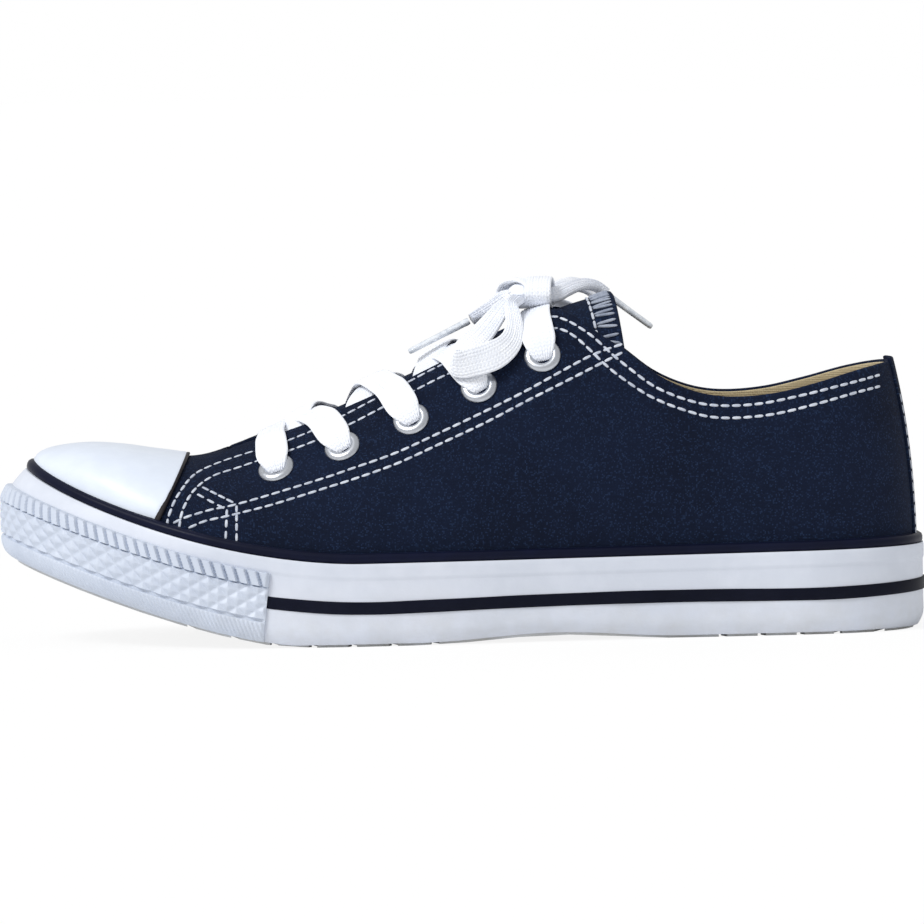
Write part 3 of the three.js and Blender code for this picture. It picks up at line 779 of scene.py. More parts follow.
@dataclass(frozen=True)
class Canvas:
    """Dyed cotton canvas with lighter specks where the yarn's core shows."""

    dye: tuple = colour(19, 30, 54)
    deep: tuple = colour(11, 18, 35)
    speck: tuple = colour(58, 82, 124)
    threads: float = 2300.0
    speck_share: float = 0.3

    def make(self, name: str, effects: Effects) -> bpy.types.Material:
        """Returns the material."""
        m = Material(name, effects)
        weave = m.group(effects.weave, {"Place": m.cloth, "Threads": self.threads, "Slub": 0.5})
        faded = m.mottled(self.dye, self.deep, 0.55, 26.0)
        specks = m.tree.ramp(weave.outputs["Thread"], 0.74, 1.0)
        specks = m.tree.times(specks, self.speck_share)
        lit = m.tree.mix(specks, faded, self.speck)
        # painted shade: the gaps between the threads are darkened towards the deep dye
        gap = m.tree.times(weave.outputs["Gap"], 0.55)
        m.link("Base Color", m.tree.mix(gap, lit, self.deep))
        m.set(Roughness=0.88, Specular_IOR_Level=0.12)
        m.bump(m.tree.noise(m.place, 60.0, 3.0), 0.0005, 0.35)
        m.bump(weave.outputs["Height"], 0.00025, 0.8)
        return m.material


@dataclass(frozen=True)
class Rubber:
    """Moulded or calendered rubber: its colour, how it changes, its gloss and its grain."""

    base: tuple
    other: tuple
    dust: tuple = colour(176, 172, 160)
    dust_amount: float = 0.2
    dust_high: float = 0.02
    roughness: float = 0.45
    gloss: float = 0.4
    grain: float = 0.00006
    grain_scale: float = 1400.0

    def make(self, name: str, effects: Effects) -> bpy.types.Material:
        """Returns the material."""
        m = Material(name, effects)
        inputs = {
            "Place": m.place,
            "Base": m.mottled(self.base, self.other, 0.7, 22.0),
            "Dust": self.dust,
            "Low": 0.0,
            "High": self.dust_high,
            "Amount": self.dust_amount,
        }
        m.link("Base Color", m.group(effects.dust, inputs).outputs["Color"])
        uneven = m.tree.noise(m.place, 45.0, 4.0, 0.6)
        m.link("Roughness", m.tree.ramp(uneven, 0.3, 0.7, self.roughness - 0.08, self.roughness + 0.1))
        m.set(Specular_IOR_Level=self.gloss)
        m.bump(m.tree.noise(m.place, self.grain_scale, 3.0, 0.6), self.grain, 0.6)
        return m.material


@dataclass(frozen=True)
class Twill:
    """A soft cotton facing, for the lining and the insole."""

    base: tuple = colour(205, 190, 156)
    other: tuple = colour(184, 167, 132)
    threads: float = 1400.0

    def make(self, name: str, effects: Effects) -> bpy.types.Material:
        """Returns the material."""
        m = Material(name, effects)
        weave = m.group(effects.weave, {"Place": m.cloth, "Threads": self.threads, "Slub": 0.3})
        toned = m.mottled(self.base, self.other, 0.7, 40.0)
        # painted shade: the gaps between the threads are darkened towards the darker tone
        gap = m.tree.times(weave.outputs["Gap"], 0.4)
        m.link("Base Color", m.tree.mix(gap, toned, self.other))
        m.set(Roughness=0.9, Sheen_Weight=0.1, Specular_IOR_Level=0.2)
        m.bump(weave.outputs["Height"], 0.0002, 0.8)
        return m.material


@dataclass(frozen=True)
class Thread:
    """Twisted sewing thread; the twist runs round each stitch."""

    base: tuple
    other: tuple
    twists: float = 1500.0

    def make(self, name: str, effects: Effects) -> bpy.types.Material:
        """Returns the material."""
        m = Material(name, effects)
        m.link("Base Color", m.mottled(self.base, self.other, 0.8, 300.0))
        m.set(Roughness=0.6, Sheen_Weight=0.1, Specular_IOR_Level=0.35)
        wave = {"Vector": m.place, "Scale": self.twists, "Distortion": 1.0}
        twist = m.tree.add("ShaderNodeTexWave", wave, bands_direction="DIAGONAL")
        m.bump(twist.outputs["Fac"], 0.0001, 0.6)
        return m.material


@dataclass(frozen=True)
class LaceCotton:
    """A flat woven lace: a fine herringbone along its length."""

    base: tuple = colour(247, 249, 254)
    other: tuple = colour(222, 228, 240)
    picks: float = 900.0
    cords: float = 1300.0

    def make(self, name: str, effects: Effects) -> bpy.types.Material:
        """Returns the material; its cloth places run along and across the lace."""
        m = Material(name, effects)
        axes = m.tree.add("ShaderNodeSeparateXYZ", {0: m.cloth})
        along = m.tree.times(axes.outputs[0], self.picks * math.tau)
        across = m.tree.times(axes.outputs[1], self.cords)
        slant = m.tree.times(m.tree.math("PINGPONG", across, 1.0), math.pi)
        herring = m.tree.math("SINE", m.tree.math("ADD", along, slant))
        height = m.tree.math("ADD", m.tree.times(herring, 0.5), 0.5)
        toned = m.mottled(self.base, self.other, 0.5, 120.0)
        # painted shade: the low places of the herringbone are darkened towards the darker tone
        low = m.tree.times(m.tree.ramp(height, 0.5, 0.0), 0.5)
        m.link("Base Color", m.tree.mix(low, toned, self.other))
        m.set(Roughness=0.8, Sheen_Weight=0.15, Specular_IOR_Level=0.25)
        m.bump(height, 0.00012, 0.7)
        return m.material


@dataclass(frozen=True)
class Nickel:
    """Bright nickel plate with fine rubbing marks."""

    base: tuple = colour(192, 196, 203)
    roughness: float = 0.24

    def make(self, name: str, effects: Effects) -> bpy.types.Material:
        """Returns the material."""
        m = Material(name, effects)
        rubbed = m.tree.noise(m.place, 700.0, 4.0, 0.65)
        m.link("Roughness", m.tree.ramp(rubbed, 0.3, 0.75, self.roughness, self.roughness + 0.2))
        m.link("Base Color", m.tree.mix(m.tree.ramp(rubbed, 0.5, 0.8), self.base, colour(168, 172, 180)))
        m.set(Metallic=1.0)
        m.bump(rubbed, 0.00002, 0.4)
        return m.material


@dataclass(frozen=True)
class TipFilm:
    """The lace tip's glossy film over the bunched lace."""

    base: tuple = colour(226, 231, 238)

    def make(self, name: str, effects: Effects) -> bpy.types.Material:
        """Returns the material."""
        m = Material(name, effects)
        wrap = m.tree.noise(m.place, 500.0, 2.0)
        m.link("Base Color", m.tree.mix(m.tree.ramp(wrap, 0.4, 0.7), self.base, colour(186, 194, 206)))
        m.set(Roughness=0.18, Coat_Weight=0.6, Coat_Roughness=0.08)
        m.bump(wrap, 0.00015, 0.5)
        return m.material


class Finishes:
    """Every material of the shoe."""

    def __init__(self) -> None:
        """Builds the shared effects and the materials."""
        effects = Effects()
        self.canvas = Canvas().make("canvas", effects)
        tongue = Canvas(dye=colour(24, 36, 60), deep=colour(15, 23, 41))
        self.tongue_canvas = tongue.make("tongue_canvas", effects)
        self.lining = Twill().make("lining", effects)
        insole = Twill(base=colour(198, 190, 172), other=colour(170, 160, 140))
        self.insole = insole.make("insole_cloth", effects)
        self.thread = Thread(colour(214, 220, 232), colour(166, 174, 192)).make("white_thread", effects)
        self.whip = Thread(colour(168, 176, 192), colour(122, 132, 152)).make("grey_thread", effects)
        self.lace = LaceCotton().make("lace_cotton", effects)
        self.tip = TipFilm().make("tip_film", effects)
        self.metal = Nickel().make("nickel", effects)
        cap = Rubber(colour(221, 229, 241), colour(211, 219, 233), roughness=0.34, dust_amount=0.06)
        wall = Rubber(
            colour(212, 217, 228), colour(199, 205, 217), roughness=0.5, gloss=0.3, dust_amount=0.3
        )
        # the bumper's rubber is set darker than the wall's: painted shade of its ribbed, moulded front
        bumper = Rubber(colour(199, 207, 221), colour(182, 191, 207), dust_amount=0.3)
        navy = (colour(15, 20, 44), colour(9, 13, 31), colour(48, 54, 72))
        line = Rubber(*navy, roughness=0.4, gloss=0.1, dust_amount=0.15)
        black = (colour(13, 16, 32), colour(8, 11, 24), colour(52, 56, 70))
        stripe = Rubber(*black, roughness=0.5, gloss=0.08, dust_amount=0.2)
        tread = Rubber(
            colour(206, 208, 210), colour(184, 186, 188), roughness=0.62, dust_amount=0.5, dust_high=0.012
        )
        # the dark line behind the toe cap's edge: partly old adhesive, partly painted shade under the edge
        glue_and_shade = Rubber(colour(44, 40, 42), colour(30, 28, 34), roughness=0.5, gloss=0.1)
        self.cap = cap.make("cap_rubber", effects)
        self.wall = wall.make("wall_rubber", effects)
        self.bumper = bumper.make("bumper_rubber", effects)
        self.line = line.make("line_rubber", effects)
        self.stripe = stripe.make("stripe_rubber", effects)
        self.tread = tread.make("tread_rubber", effects)
        self.glue_and_shade = glue_and_shade.make("glue_and_painted_shade", effects)


class Shoe:
    """The finished pieces as they are made."""

    def __init__(self) -> None:
        """Starts with no pieces."""
        self.pieces: list[bpy.types.Object] = []

    def keep(self, piece: bpy.types.Object, slot: str, *nodes: str) -> bpy.types.Object:
        """Puts a piece on the shoe.

        Args:
            piece: the finished object.
            slot: not used.
            *nodes: the solids it stands for.

        Returns:
            The same piece.
        """
        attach(piece, BODY)
        if nodes:
            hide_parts(*nodes)
        self.pieces.append(piece)
        log.info("%s: %d faces", piece.name, len(piece.data.polygons))
        return piece


# ---------------- stage


@dataclass
class Studio:
    """The camera, a pale floor and soft light all round."""

    place: tuple[float, float, float] = (-0.031, -2.494, 0.171)
    aim: tuple[float, float, float] = (0.0007, 0.0, 0.0526)
    roll: float = -1.1
    lens: float = 318.4
    sensor: float = 36.0
    floor_half: float = 60.0
    floor_glow: float = 0.88
    floor_colour: tuple[float, float, float, float] = (0.95, 0.95, 0.95, 1.0)
    key_from: tuple[float, float, float] = (-0.75, -0.62, 1.0)
    key_strength: float = 1.9
    key_soft: float = 22.0
    world: float = 0.66

    def build(self) -> None:
        """Builds the camera, the floor, the key light and the world."""
        self._camera()
        self._floor()
        self._key()
        self._world()

    def _camera(self) -> None:
        """Stands the camera at its place, turned to its aim and rolled."""
        data = bpy.data.cameras.new("camera")
        data.sensor_fit = "HORIZONTAL"
        data.sensor_width = self.sensor
        data.lens = self.lens
        data.clip_end = 200.0
        data.dof.use_dof = False
        look = Vector(self.aim) - Vector(self.place)
        turn = look.to_track_quat("-Z", "Y").to_matrix()
        turn = turn @ Matrix.Rotation(math.radians(self.roll), 3, "Z")
        camera = linked("camera", data)
        camera.matrix_world = Matrix.Translation(self.place) @ turn.to_4x4()
        bpy.context.scene.camera = camera

    def _floor(self) -> None:
        """Lays a wide pale floor just under the sole."""
        half = self.floor_half
        mesh = bpy.data.meshes.new("floor")
        corners = [(-half, -half, 0), (half, -half, 0), (half, half, 0), (-half, half, 0)]
        mesh.from_pydata(corners, [], [(0, 1, 2, 3)])
        floor = linked("floor", mesh)
        material = bpy.data.materials.new("floor_paper")
        material.use_nodes = True
        shader = material.node_tree.nodes["Principled BSDF"]
        shader.inputs["Base Color"].default_value = self.floor_colour
        shader.inputs["Roughness"].default_value = 0.9
        shader.inputs["Specular IOR Level"].default_value = 0.1
        tree = Tree(material.node_tree)
        glow = tree.add("ShaderNodeEmission", {"Color": (1, 1, 1, 1), "Strength": 1.0})
        camera_ray = tree.add("ShaderNodeLightPath").outputs["Is Camera Ray"]
        seen = tree.times(camera_ray, self.floor_glow)
        mixed = tree.add("ShaderNodeMixShader", {0: seen, 1: shader.outputs[0], 2: glow.outputs[0]})
        output = material.node_tree.nodes["Material Output"]
        material.node_tree.links.new(mixed.outputs[0], output.inputs["Surface"])
        mesh.materials.append(material)

    def _key(self) -> None:
        """Sets a broad even light from above, before the toe."""
        data = bpy.data.lights.new("key", "SUN")
        data.energy = self.key_strength
        data.angle = math.radians(self.key_soft)
        turn = (-Vector(self.key_from)).to_track_quat("-Z", "Y").to_matrix()
        linked("key", data).matrix_world = Matrix.Translation(self.key_from) @ turn.to_4x4()

    def _world(self) -> None:
        """Makes an even white surround."""
        world = bpy.data.worlds.new("studio")
        world.use_nodes = True
        tree = Tree(world.node_tree)
        seen = tree.add("ShaderNodeLightPath").outputs["Is Camera Ray"]
        strength = tree.ramp(seen, 0.0, 1.0, self.world, 1.0)
        background = world.node_tree.nodes["Background"]
        background.inputs[0].default_value = (1, 1, 1, 1)
        tree.tree.links.new(strength, background.inputs[1])
        scene = bpy.context.scene
        scene.world = world
        scene.view_settings.view_transform = "Standard"


# ---------------- laces


class Skin:
    """The last as one dense surface that can be met from the side or from above."""

    def __init__(self, stations: int = 260, turns: int = 120) -> None:
        """Args: stations: ribs from heel to toe. turns: steps from the rim to the crown."""
        u = np.linspace(0, 1, stations)
        turn = np.linspace(0, 1, turns) ** 1.6
        points, faces = [], []
        for side in (-1, 1):
            grid = FORM.surface(u[:, None], np.full((stations, 1), side), turn[None, :])
            first = len(points) * stations * turns
            points.append(grid.reshape(-1, 3))
            i, j = np.meshgrid(np.arange(stations - 1), np.arange(turns - 1), indexing="ij")
            a = first + i * turns + j
            faces.append(np.stack([a, a + 1, a + turns + 1, a + turns], -1).reshape(-1, 4))
        corners, polygons = np.concatenate(points).tolist(), np.concatenate(faces).tolist()
        self.tree = BVHTree.FromPolygons(corners, polygons)

    def _meet(self, origin: Array, along: tuple[float, float, float]) -> tuple[Array, Array]:
        """Returns where a line first meets the last, and the normal there."""
        hit, normal, _, _ = self.tree.ray_cast(Vector(origin), Vector(along))
        if hit is None:
            near, normal, _, _ = self.tree.find_nearest(Vector(origin) + Vector(along) * 160)
            hit = near
        normal = np.array(normal)
        if normal @ np.array(along) > 0:
            normal = -normal
        return np.array(hit), normal

    def from_side(self, s: float, z: float, side: float, depth: float = 0.0) -> tuple[Array, Array]:
        """Returns the point seen from one side at a place, sunk by a depth, and its normal."""
        at, normal = self._meet(np.array([s, side * 200.0, z]), (0.0, -float(side), 0.0))
        return at - normal * depth, normal

    def from_above(self, s: float, y: float, depth: float = 0.0) -> tuple[Array, Array]:
        """Returns the point seen from above, sunk by a depth, and its normal."""
        at, normal = self._meet(np.array([s, y, 200.0]), (0.0, 0.0, -1.0))
        return at - normal * depth, normal


def spline(points: Array, count: int) -> Array:
    """Returns points evenly spaced along a smooth curve through the given ones."""
    steps = np.linalg.norm(np.diff(points[:, :3], axis=0), axis=1) ** 0.5
    knots = np.concatenate([[0], np.cumsum(steps)])
    padded = np.concatenate([[2 * points[0] - points[1]], points, [2 * points[-1] - points[-2]]])
    before = knots[0] - (knots[1] - knots[0])
    after = knots[-1] + (knots[-1] - knots[-2])
    t = np.concatenate([[before], knots, [after]])

    def blend(x: Array, i: int, j: int, one: Array, other: Array) -> Array:
        return (t[j] - x) / (t[j] - t[i]) * one + (x - t[i]) / (t[j] - t[i]) * other

    fine = []
    for i in range(1, len(points)):
        x = np.linspace(t[i], t[i + 1], 24, endpoint=i == len(points) - 1)[:, None]
        a1, a2, a3 = (blend(x, j, j + 1, padded[j], padded[j + 1]) for j in (i - 1, i, i + 1))
        b1 = blend(x, i - 1, i + 1, a1, a2)
        b2 = blend(x, i, i + 2, a2, a3)
        fine.append(blend(x, i, i + 1, b1, b2))
    fine = np.concatenate(fine)
    arc = lengths_along(fine[:, :3])
    even = np.linspace(0, arc[-1], count)
    return np.stack([np.interp(even, arc, fine[:, k]) for k in range(fine.shape[1])], 1)


class Stop(NamedTuple):
    """A place that a lace goes through: where, which way its flat face looks, and its width as a share."""

    at: Array
    face: Array
    width: float = 1.0


Laid = tuple[bpy.types.Object, Array]


@dataclass
class Ribbon:
    """A flat lace with lengthwise ridges and full, rounded edges."""

    wide: float = 9.6
    thick: float = 1.5
    ridges: int = 9
    ridge_high: float = 0.24
    across: int = 37
    step: float = 0.7

    def section(self, width: float) -> Array:
        """Returns the section's points at a width share: it bunches up as it narrows."""
        bunch = min(1.0 / max(width, 0.3) ** 0.75, 2.4)
        a = np.cos(np.linspace(0, np.pi, self.across))
        full = np.maximum(1 - np.abs(a) ** 5, 0) ** 0.5
        ridge = self.ridge_high * (0.5 - 0.5 * np.cos(2 * np.pi * self.ridges * (a * 0.5 + 0.5)))
        up = self.thick * bunch * 0.5 * full + (ridge - self.ridge_high) * full * bunch
        x = a * self.wide * width / 2
        top = np.stack([x, up], 1)
        bottom = np.stack([x[::-1], -up[::-1]], 1)[1:-1]
        return np.concatenate([top, bottom])

    def build(self, name: str, stops: Sequence[Stop], material: bpy.types.Material) -> Laid:
        """Makes the lace through its stops.

        Args:
            name: the piece's name.
            stops: the places it goes through.
            material: its material.

        Returns:
            The piece, and the line through its middle in millimetres from the toe.
        """
        rows = np.array([[*s.at, *unit(np.asarray(s.face, float)), s.width] for s in stops])
        line = spline(rows, max(int(length_of(rows[:, :3]) / self.step), 12))
        at, face, width = line[:, :3], line[:, 3:6], line[:, 6]
        run = unit(np.gradient(at, axis=0))
        sideways = unit(np.cross(run, face))
        flat = unit(np.cross(sideways, run))
        arc = lengths_along(at)
        rings, places = [], []
        for k in range(len(at)):
            section = self.section(float(np.clip(width[k], 0.2, 1.2)))
            rings.append(at[k] + section[:, :1] * sideways[k] + section[:, 1:] * flat[k])
            places.append(np.stack([np.full(len(section), arc[k]), section[:, 0]], 1))
        builder = MeshBuilder()
        grid = np.array(rings)
        first = builder.add_grid(grid, np.array(places), wrap=True)
        builder.close_rows(first, *grid.shape[:2])
        return builder.build(name, material, sharp=60), at


class EyeletPlace(NamedTuple):
    """An eyelet's centre, seen from the side."""

    from_toe: float
    height: float


EYELETS = table(
    EyeletPlace,
    (85.3, 52.9), (105.4, 59.2), (126.3, 67.1), (146.9, 76.5), (166.3, 85.4),
)


class Rise(NamedTuple):
    """A stop at an eyelet: how far out of the canvas and how far along, its face's tilt, and its width."""

    out: float
    along: float
    tilt: float
    width: float


RISES = table(
    Rise,
    (-2.4, -1.4, 0, 0.46), (0.2, -0.9, 0.6, 0.56), (1.8, 1.2, 0.25, 0.82), (2.3, 4.2, 0, 1.02),
)


@dataclass
class Lacing:
    """The laces that lie flat over the throat: a bar at each end and three crossings between."""

    skin: Skin
    finishes: Finishes
    ribbon: Ribbon = field(default_factory=Ribbon)
    edge: float = 15.0
    over_edge: float = -1.25
    in_throat: float = 0.3
    weave: float = 1.0
    lean: float = 7.0
    bar_lean: float = 1.5
    before_edge: float = 0.72
    crossed: tuple[float, float, float] = (1.75, 2.3, 2.5)

    def _over(self, from_toe: float, from_middle: float, depth: float, width: float = 1.0) -> Stop:
        """Returns a stop on the last, measured from its middle line and sunk by a depth."""
        at, face = self.skin.from_above(from_toe, float(FORM.middle(from_toe)) + from_middle, depth)
        return Stop(at, face, width)

    def leaving(self, place: EyeletPlace, side: int, lean: float) -> list[Stop]:
        """Returns the stops from inside an eyelet over the throat's edge on its side.

        Args:
            place: the eyelet.
            side: -1 or 1.
            lean: how far towards the toe the lace has gone when it reaches the edge.

        Returns:
            The stops, from the bore outwards.
        """
        bore, face = self.skin.from_side(place.from_toe, place.height, side)
        over = self._over(place.from_toe - lean, side * (self.edge - 0.4), self.over_edge)
        before = place.from_toe - lean * self.before_edge
        run = over.at - bore
        run = unit(run - face * (run @ face))
        return [
            *(Stop(bore + face * r.out + run * r.along, unit(face - run * r.tilt), r.width) for r in RISES),
            self._over(before, side * (self.edge + 3.6), self.over_edge - 0.6, 1.04),
            over,
        ]

    def bar(self, number: int) -> bpy.types.Object:
        """Makes the straight bar between a pair of eyelets."""
        place = EYELETS[number - 1]
        middle = self._over(place.from_toe - self.bar_lean, 0, self.in_throat)
        one, other = (self.leaving(place, side.value, self.bar_lean) for side in Side)
        stops = [*one, middle, *other[::-1]]
        return self.ribbon.build(f"lace_bar_{number}", stops, self.finishes.lace)[0]

    def crossing(self, number: int, over: Side) -> list[bpy.types.Object]:
        """Makes the two laces that cross at a pair of eyelets.

        Args:
            number: the pair's number, from the toe.
            over: the side whose lace lies on top.

        Returns:
            The two laces.
        """
        place = EYELETS[number - 1]
        made = []
        middle, beyond, tucked = (place.from_toe - self.lean * share for share in self.crossed)
        for side in Side:
            lift = -self.weave if side is over else self.weave * 0.7
            stops = [
                *self.leaving(place, side.value, self.lean),
                self._over(middle, 0, self.in_throat + lift),
                self._over(beyond, -side.value * (self.edge - 4.5), self.in_throat + 1.6),
                self._over(tucked, -side.value * (self.edge + 0.5), 3.0, 0.9),
            ]
            name = f"lace_{number}_{side.name.lower()}"
            made.append(self.ribbon.build(name, stops, self.finishes.lace)[0])
        return made

    def build(self, shoe: Shoe) -> None:
        """Makes all the flat laces and puts them on the shoe."""
        for number in (1, 5):
            shoe.keep(self.bar(number), "lace", f"lace_bar_{number}")
        for number in (2, 3, 4):
            over = Side.OUTER if number % 2 else Side.INNER
            for piece in self.crossing(number, over):
                shoe.keep(piece, "lace", f"lace_crossing_{number}")


class Wrap(NamedTuple):
    """A turn of lace round the knot: its tilt, its place along it, and its size in shares of the core's."""

    tilt: float
    shift: float
    grow: float


WRAPS = table(Wrap, (0.12, 3.4, 1.16), (-0.7, -2.2, 1.06))
# The lace tip: shares of its length and of its radius.
TIP_PROFILE = (
    (0, 0.6), (0, 1.05), (0.04, 1.18), (0.1, 1.1), (0.5, 1.0), (0.93, 0.96), (0.98, 0.85), (1.0, 0.55),
)


@dataclass
class Bow:
    """The small bow: each lace leaves the knot as a loop, comes back through it and ends in a tip."""

    finishes: Finishes
    wide: float = 9.0
    knot_at: tuple[float, float, float] = (0.022, -0.0035, 0.104)
    knot_radii: tuple[float, float, float] = (6.4, 8.0, 3.4)
    tip_radius: float = 1.15
    tip_wide: float = 1.25
    tip_high: float = 0.85
    in_knot: float = 0.62
    at_tip: float = 0.34
    drawn_in: float = 0.45
    leaves_over: float = 4.0
    returns_over: float = 5.0
    near_loop: tuple = (
        (0.015, -0.0115, 0.1012), (0.0126, -0.015, 0.0987), (0.0098, -0.0184, 0.0954),
        (0.007, -0.0216, 0.0922), (0.0041, -0.0252, 0.0897), (0.0012, -0.0282, 0.0872),
        (-0.0013, -0.0307, 0.0854), (-0.0017, -0.0326, 0.084), (0.0004, -0.0334, 0.0836),
        (0.0039, -0.0334, 0.0843), (0.0075, -0.033, 0.0851), (0.0109, -0.0322, 0.0864),
        (0.0139, -0.0306, 0.0882), (0.0162, -0.0276, 0.0908), (0.017, -0.0242, 0.0939),
        (0.0168, -0.0206, 0.0974), (0.0164, -0.0172, 0.1008),
    )
    near_faces: tuple = (
        (-0.35, -0.85, 0.5), (-0.35, -0.85, 0.5), (-0.3, -0.9, 0.4), (-0.35, -0.9, 0.3),
        (-0.4, -0.88, 0.25), (-0.6, -0.8, 0.15), (-0.8, -0.55, -0.05), (-0.85, -0.5, -0.2),
        (-0.5, -0.8, -0.3), (-0.15, -0.95, -0.15), (0, -0.98, 0), (0.05, -0.98, 0.05),
        (0.1, -0.97, 0.1), (0.2, -0.95, 0.1), (0.3, -0.93, 0.1), (0.25, -0.93, 0.2),
        (0.1, -0.9, 0.4),
    )
    near_end: tuple = (
        (0.0146, -0.0048, 0.1026), (0.0121, -0.0054, 0.101), (0.0095, -0.006, 0.0994),
        (0.0069, -0.0066, 0.0978), (0.0043, -0.0072, 0.0963),
    )
    near_tip: tuple = ((0.0035, -0.0074, 0.0959), (-0.015, -0.0096, 0.0869))
    far_loop: tuple = (
        (0.0296, 0.0026, 0.1039), (0.0318, 0.0065, 0.105), (0.0344, 0.0105, 0.1057),
        (0.0374, 0.014, 0.1056), (0.0405, 0.0174, 0.1043), (0.0433, 0.0206, 0.1022),
        (0.0444, 0.0236, 0.0998), (0.043, 0.0256, 0.098), (0.04, 0.0258, 0.0974),
        (0.0366, 0.024, 0.0979), (0.0334, 0.0204, 0.0992), (0.0304, 0.0154, 0.1006),
        (0.028, 0.01, 0.1018), (0.0262, 0.006, 0.1029),
    )
    far_faces: tuple = (
        (0.1, -0.5, 0.85), (0.1, -0.5, 0.85), (0.2, -0.5, 0.85), (0.35, -0.45, 0.8),
        (0.6, -0.3, 0.7), (0.8, 0.0, 0.5), (0.9, 0.2, 0.0), (0.7, 0.4, -0.5),
        (0.3, 0.3, -0.8), (0.0, -0.2, -0.9), (-0.1, -0.3, -0.9), (-0.1, -0.4, -0.9),
        (-0.1, -0.4, -0.9), (-0.1, -0.4, -0.9),
    )
    far_end: tuple = (
        (0.030, -0.0016, 0.1033), (0.0332, 0.0014, 0.1045), (0.0364, 0.005, 0.1056),
        (0.0396, 0.0086, 0.106), (0.043, 0.0114, 0.1052), (0.046, 0.0132, 0.103),
    )
    far_tip: tuple = ((0.0466, 0.0135, 0.1023), (0.06, 0.0144, 0.0922))

    def lace(self, name: str, loop: tuple, faces: tuple, end: tuple) -> Laid:
        """Makes one lace of the bow: its loop, the stretch through the knot, and its free end.

        Args:
            name: the piece's name.
            loop: the points of the loop, from the knot and back to it.
            faces: which way the flat face looks at each of them.
            end: the points of the free end, from the knot.

        Returns:
            The piece and the line through its middle.
        """
        points, turned = from_origin(loop), [np.array(face) for face in faces]
        order = np.arange(len(points))
        leaves = self.in_knot + (1 - self.in_knot) * np.clip(order / self.leaves_over, 0, 1)
        returns = self.drawn_in + (1 - self.drawn_in) * np.clip(order[::-1] / self.returns_over, 0, 1)
        stops = [Stop(p, f, w) for p, f, w in zip(points, turned, np.minimum(leaves, returns))]
        ends = from_origin(end)
        through = from_origin([self.knot_at])[0] * 0.5 + (points[-1] + ends[0]) * 0.25
        stops.append(Stop(through, np.array([0, -0.5, 0.8]), self.in_knot))
        for k, p in enumerate(ends):
            share = k / (len(ends) - 1)
            width = self.in_knot * (1 - share) + self.at_tip * share
            stops.append(Stop(p, np.array([0, -0.75, 0.65]), width))
        return Ribbon(wide=self.wide).build(name, stops, self.finishes.lace)

    def knot(self) -> bpy.types.Object:
        """Makes the knot: a core and two turns of lace drawn tight round it."""
        middle = from_origin([self.knot_at])[0]
        radii = np.array(self.knot_radii)
        round_it = np.linspace(0, 2 * np.pi, 56, endpoint=False)
        a, b = np.meshgrid(np.linspace(0, np.pi, 30), round_it, indexing="ij")
        ball = np.stack([np.cos(a), np.sin(a) * np.cos(b), np.sin(a) * np.sin(b)], -1)
        folds = 1 + 0.05 * np.sin(5 * b + 2 * a) * np.sin(a) + 0.03 * np.sin(9 * b - 4 * a)
        builder = MeshBuilder()
        places = np.stack([a * 7, b * 5], -1)
        builder.add_grid(middle + ball * radii * folds[..., None], places, wrap=True)
        core = builder.build("knot_core", self.finishes.lace, sharp=70)
        wraps = [core]
        for number, wrap in enumerate(WRAPS):
            stops = []
            for angle in np.linspace(0.2, 2 * np.pi + 0.1, 15):
                x, y = math.sin(wrap.tilt) * math.cos(angle), math.cos(wrap.tilt) * math.cos(angle)
                across = np.array([x, y, math.sin(angle)])
                at = middle + across * (radii * wrap.grow + 0.4) + np.array([wrap.shift, 0, 0])
                stops.append(Stop(at, across, 0.9))
            turn = Ribbon(wide=self.wide).build(f"knot_wrap_{number}", stops, self.finishes.lace)
            wraps.append(turn[0])
        return joined("bow_knot", wraps)

    def tip(self, name: str, ends: tuple) -> bpy.types.Object:
        """Makes a lace tip: a thin tube of film with a crimped mouth and a rounded end."""
        start, end = from_origin(ends)
        run = unit(end - start)
        across = unit(np.cross(run, np.array([0, 0, 1.0])))
        up = np.cross(across, run)
        length = np.linalg.norm(end - start)
        angle = np.linspace(0, 2 * np.pi, 20, endpoint=False)
        rings = []
        for share, wide in TIP_PROFILE:
            ring = np.cos(angle)[:, None] * across * self.tip_wide
            ring = ring + np.sin(angle)[:, None] * up * self.tip_high
            rings.append(start + run * length * share + ring * wide * self.tip_radius)
        builder = MeshBuilder()
        first = builder.add_grid(np.array(rings), wrap=True)
        builder.close_rows(first, len(TIP_PROFILE), len(angle))
        return builder.build(name, self.finishes.tip, sharp=40)

    def build(self, shoe: Shoe) -> None:
        """Makes the bow: its knot, its two laces with their tips, and logs the length of each lace."""
        shoe.keep(self.knot(), "lace", "knot")
        for which, loop, faces, end, tip in (
            ("near", self.near_loop, self.near_faces, self.near_end, self.near_tip),
            ("far", self.far_loop, self.far_faces, self.far_end, self.far_tip),
        ):
            lace, line = self.lace(f"bow_{which}", loop, faces, end)
            shoe.keep(lace, "lace", f"{which}_loop", f"{which}_end")
            ending = shoe.keep(self.tip(f"tip_{which}", tip), "lace_tip", f"{which}_tip")
            path = in_frame(line)
            length = float(length_of(path))
            log.info("%s lace of the bow: %.0f mm", which, length / MM)


def joined(name: str, parts: Sequence[bpy.types.Object]) -> bpy.types.Object:
    """Joins pieces of one material into one object."""
    work = bmesh.new()
    for part in parts:
        work.from_mesh(part.data)
    mesh = parts[0].data.copy()
    work.to_mesh(mesh)
    work.free()
    mesh.name = name
    for part in parts:
        bpy.data.objects.remove(part)
    return linked(name, mesh)


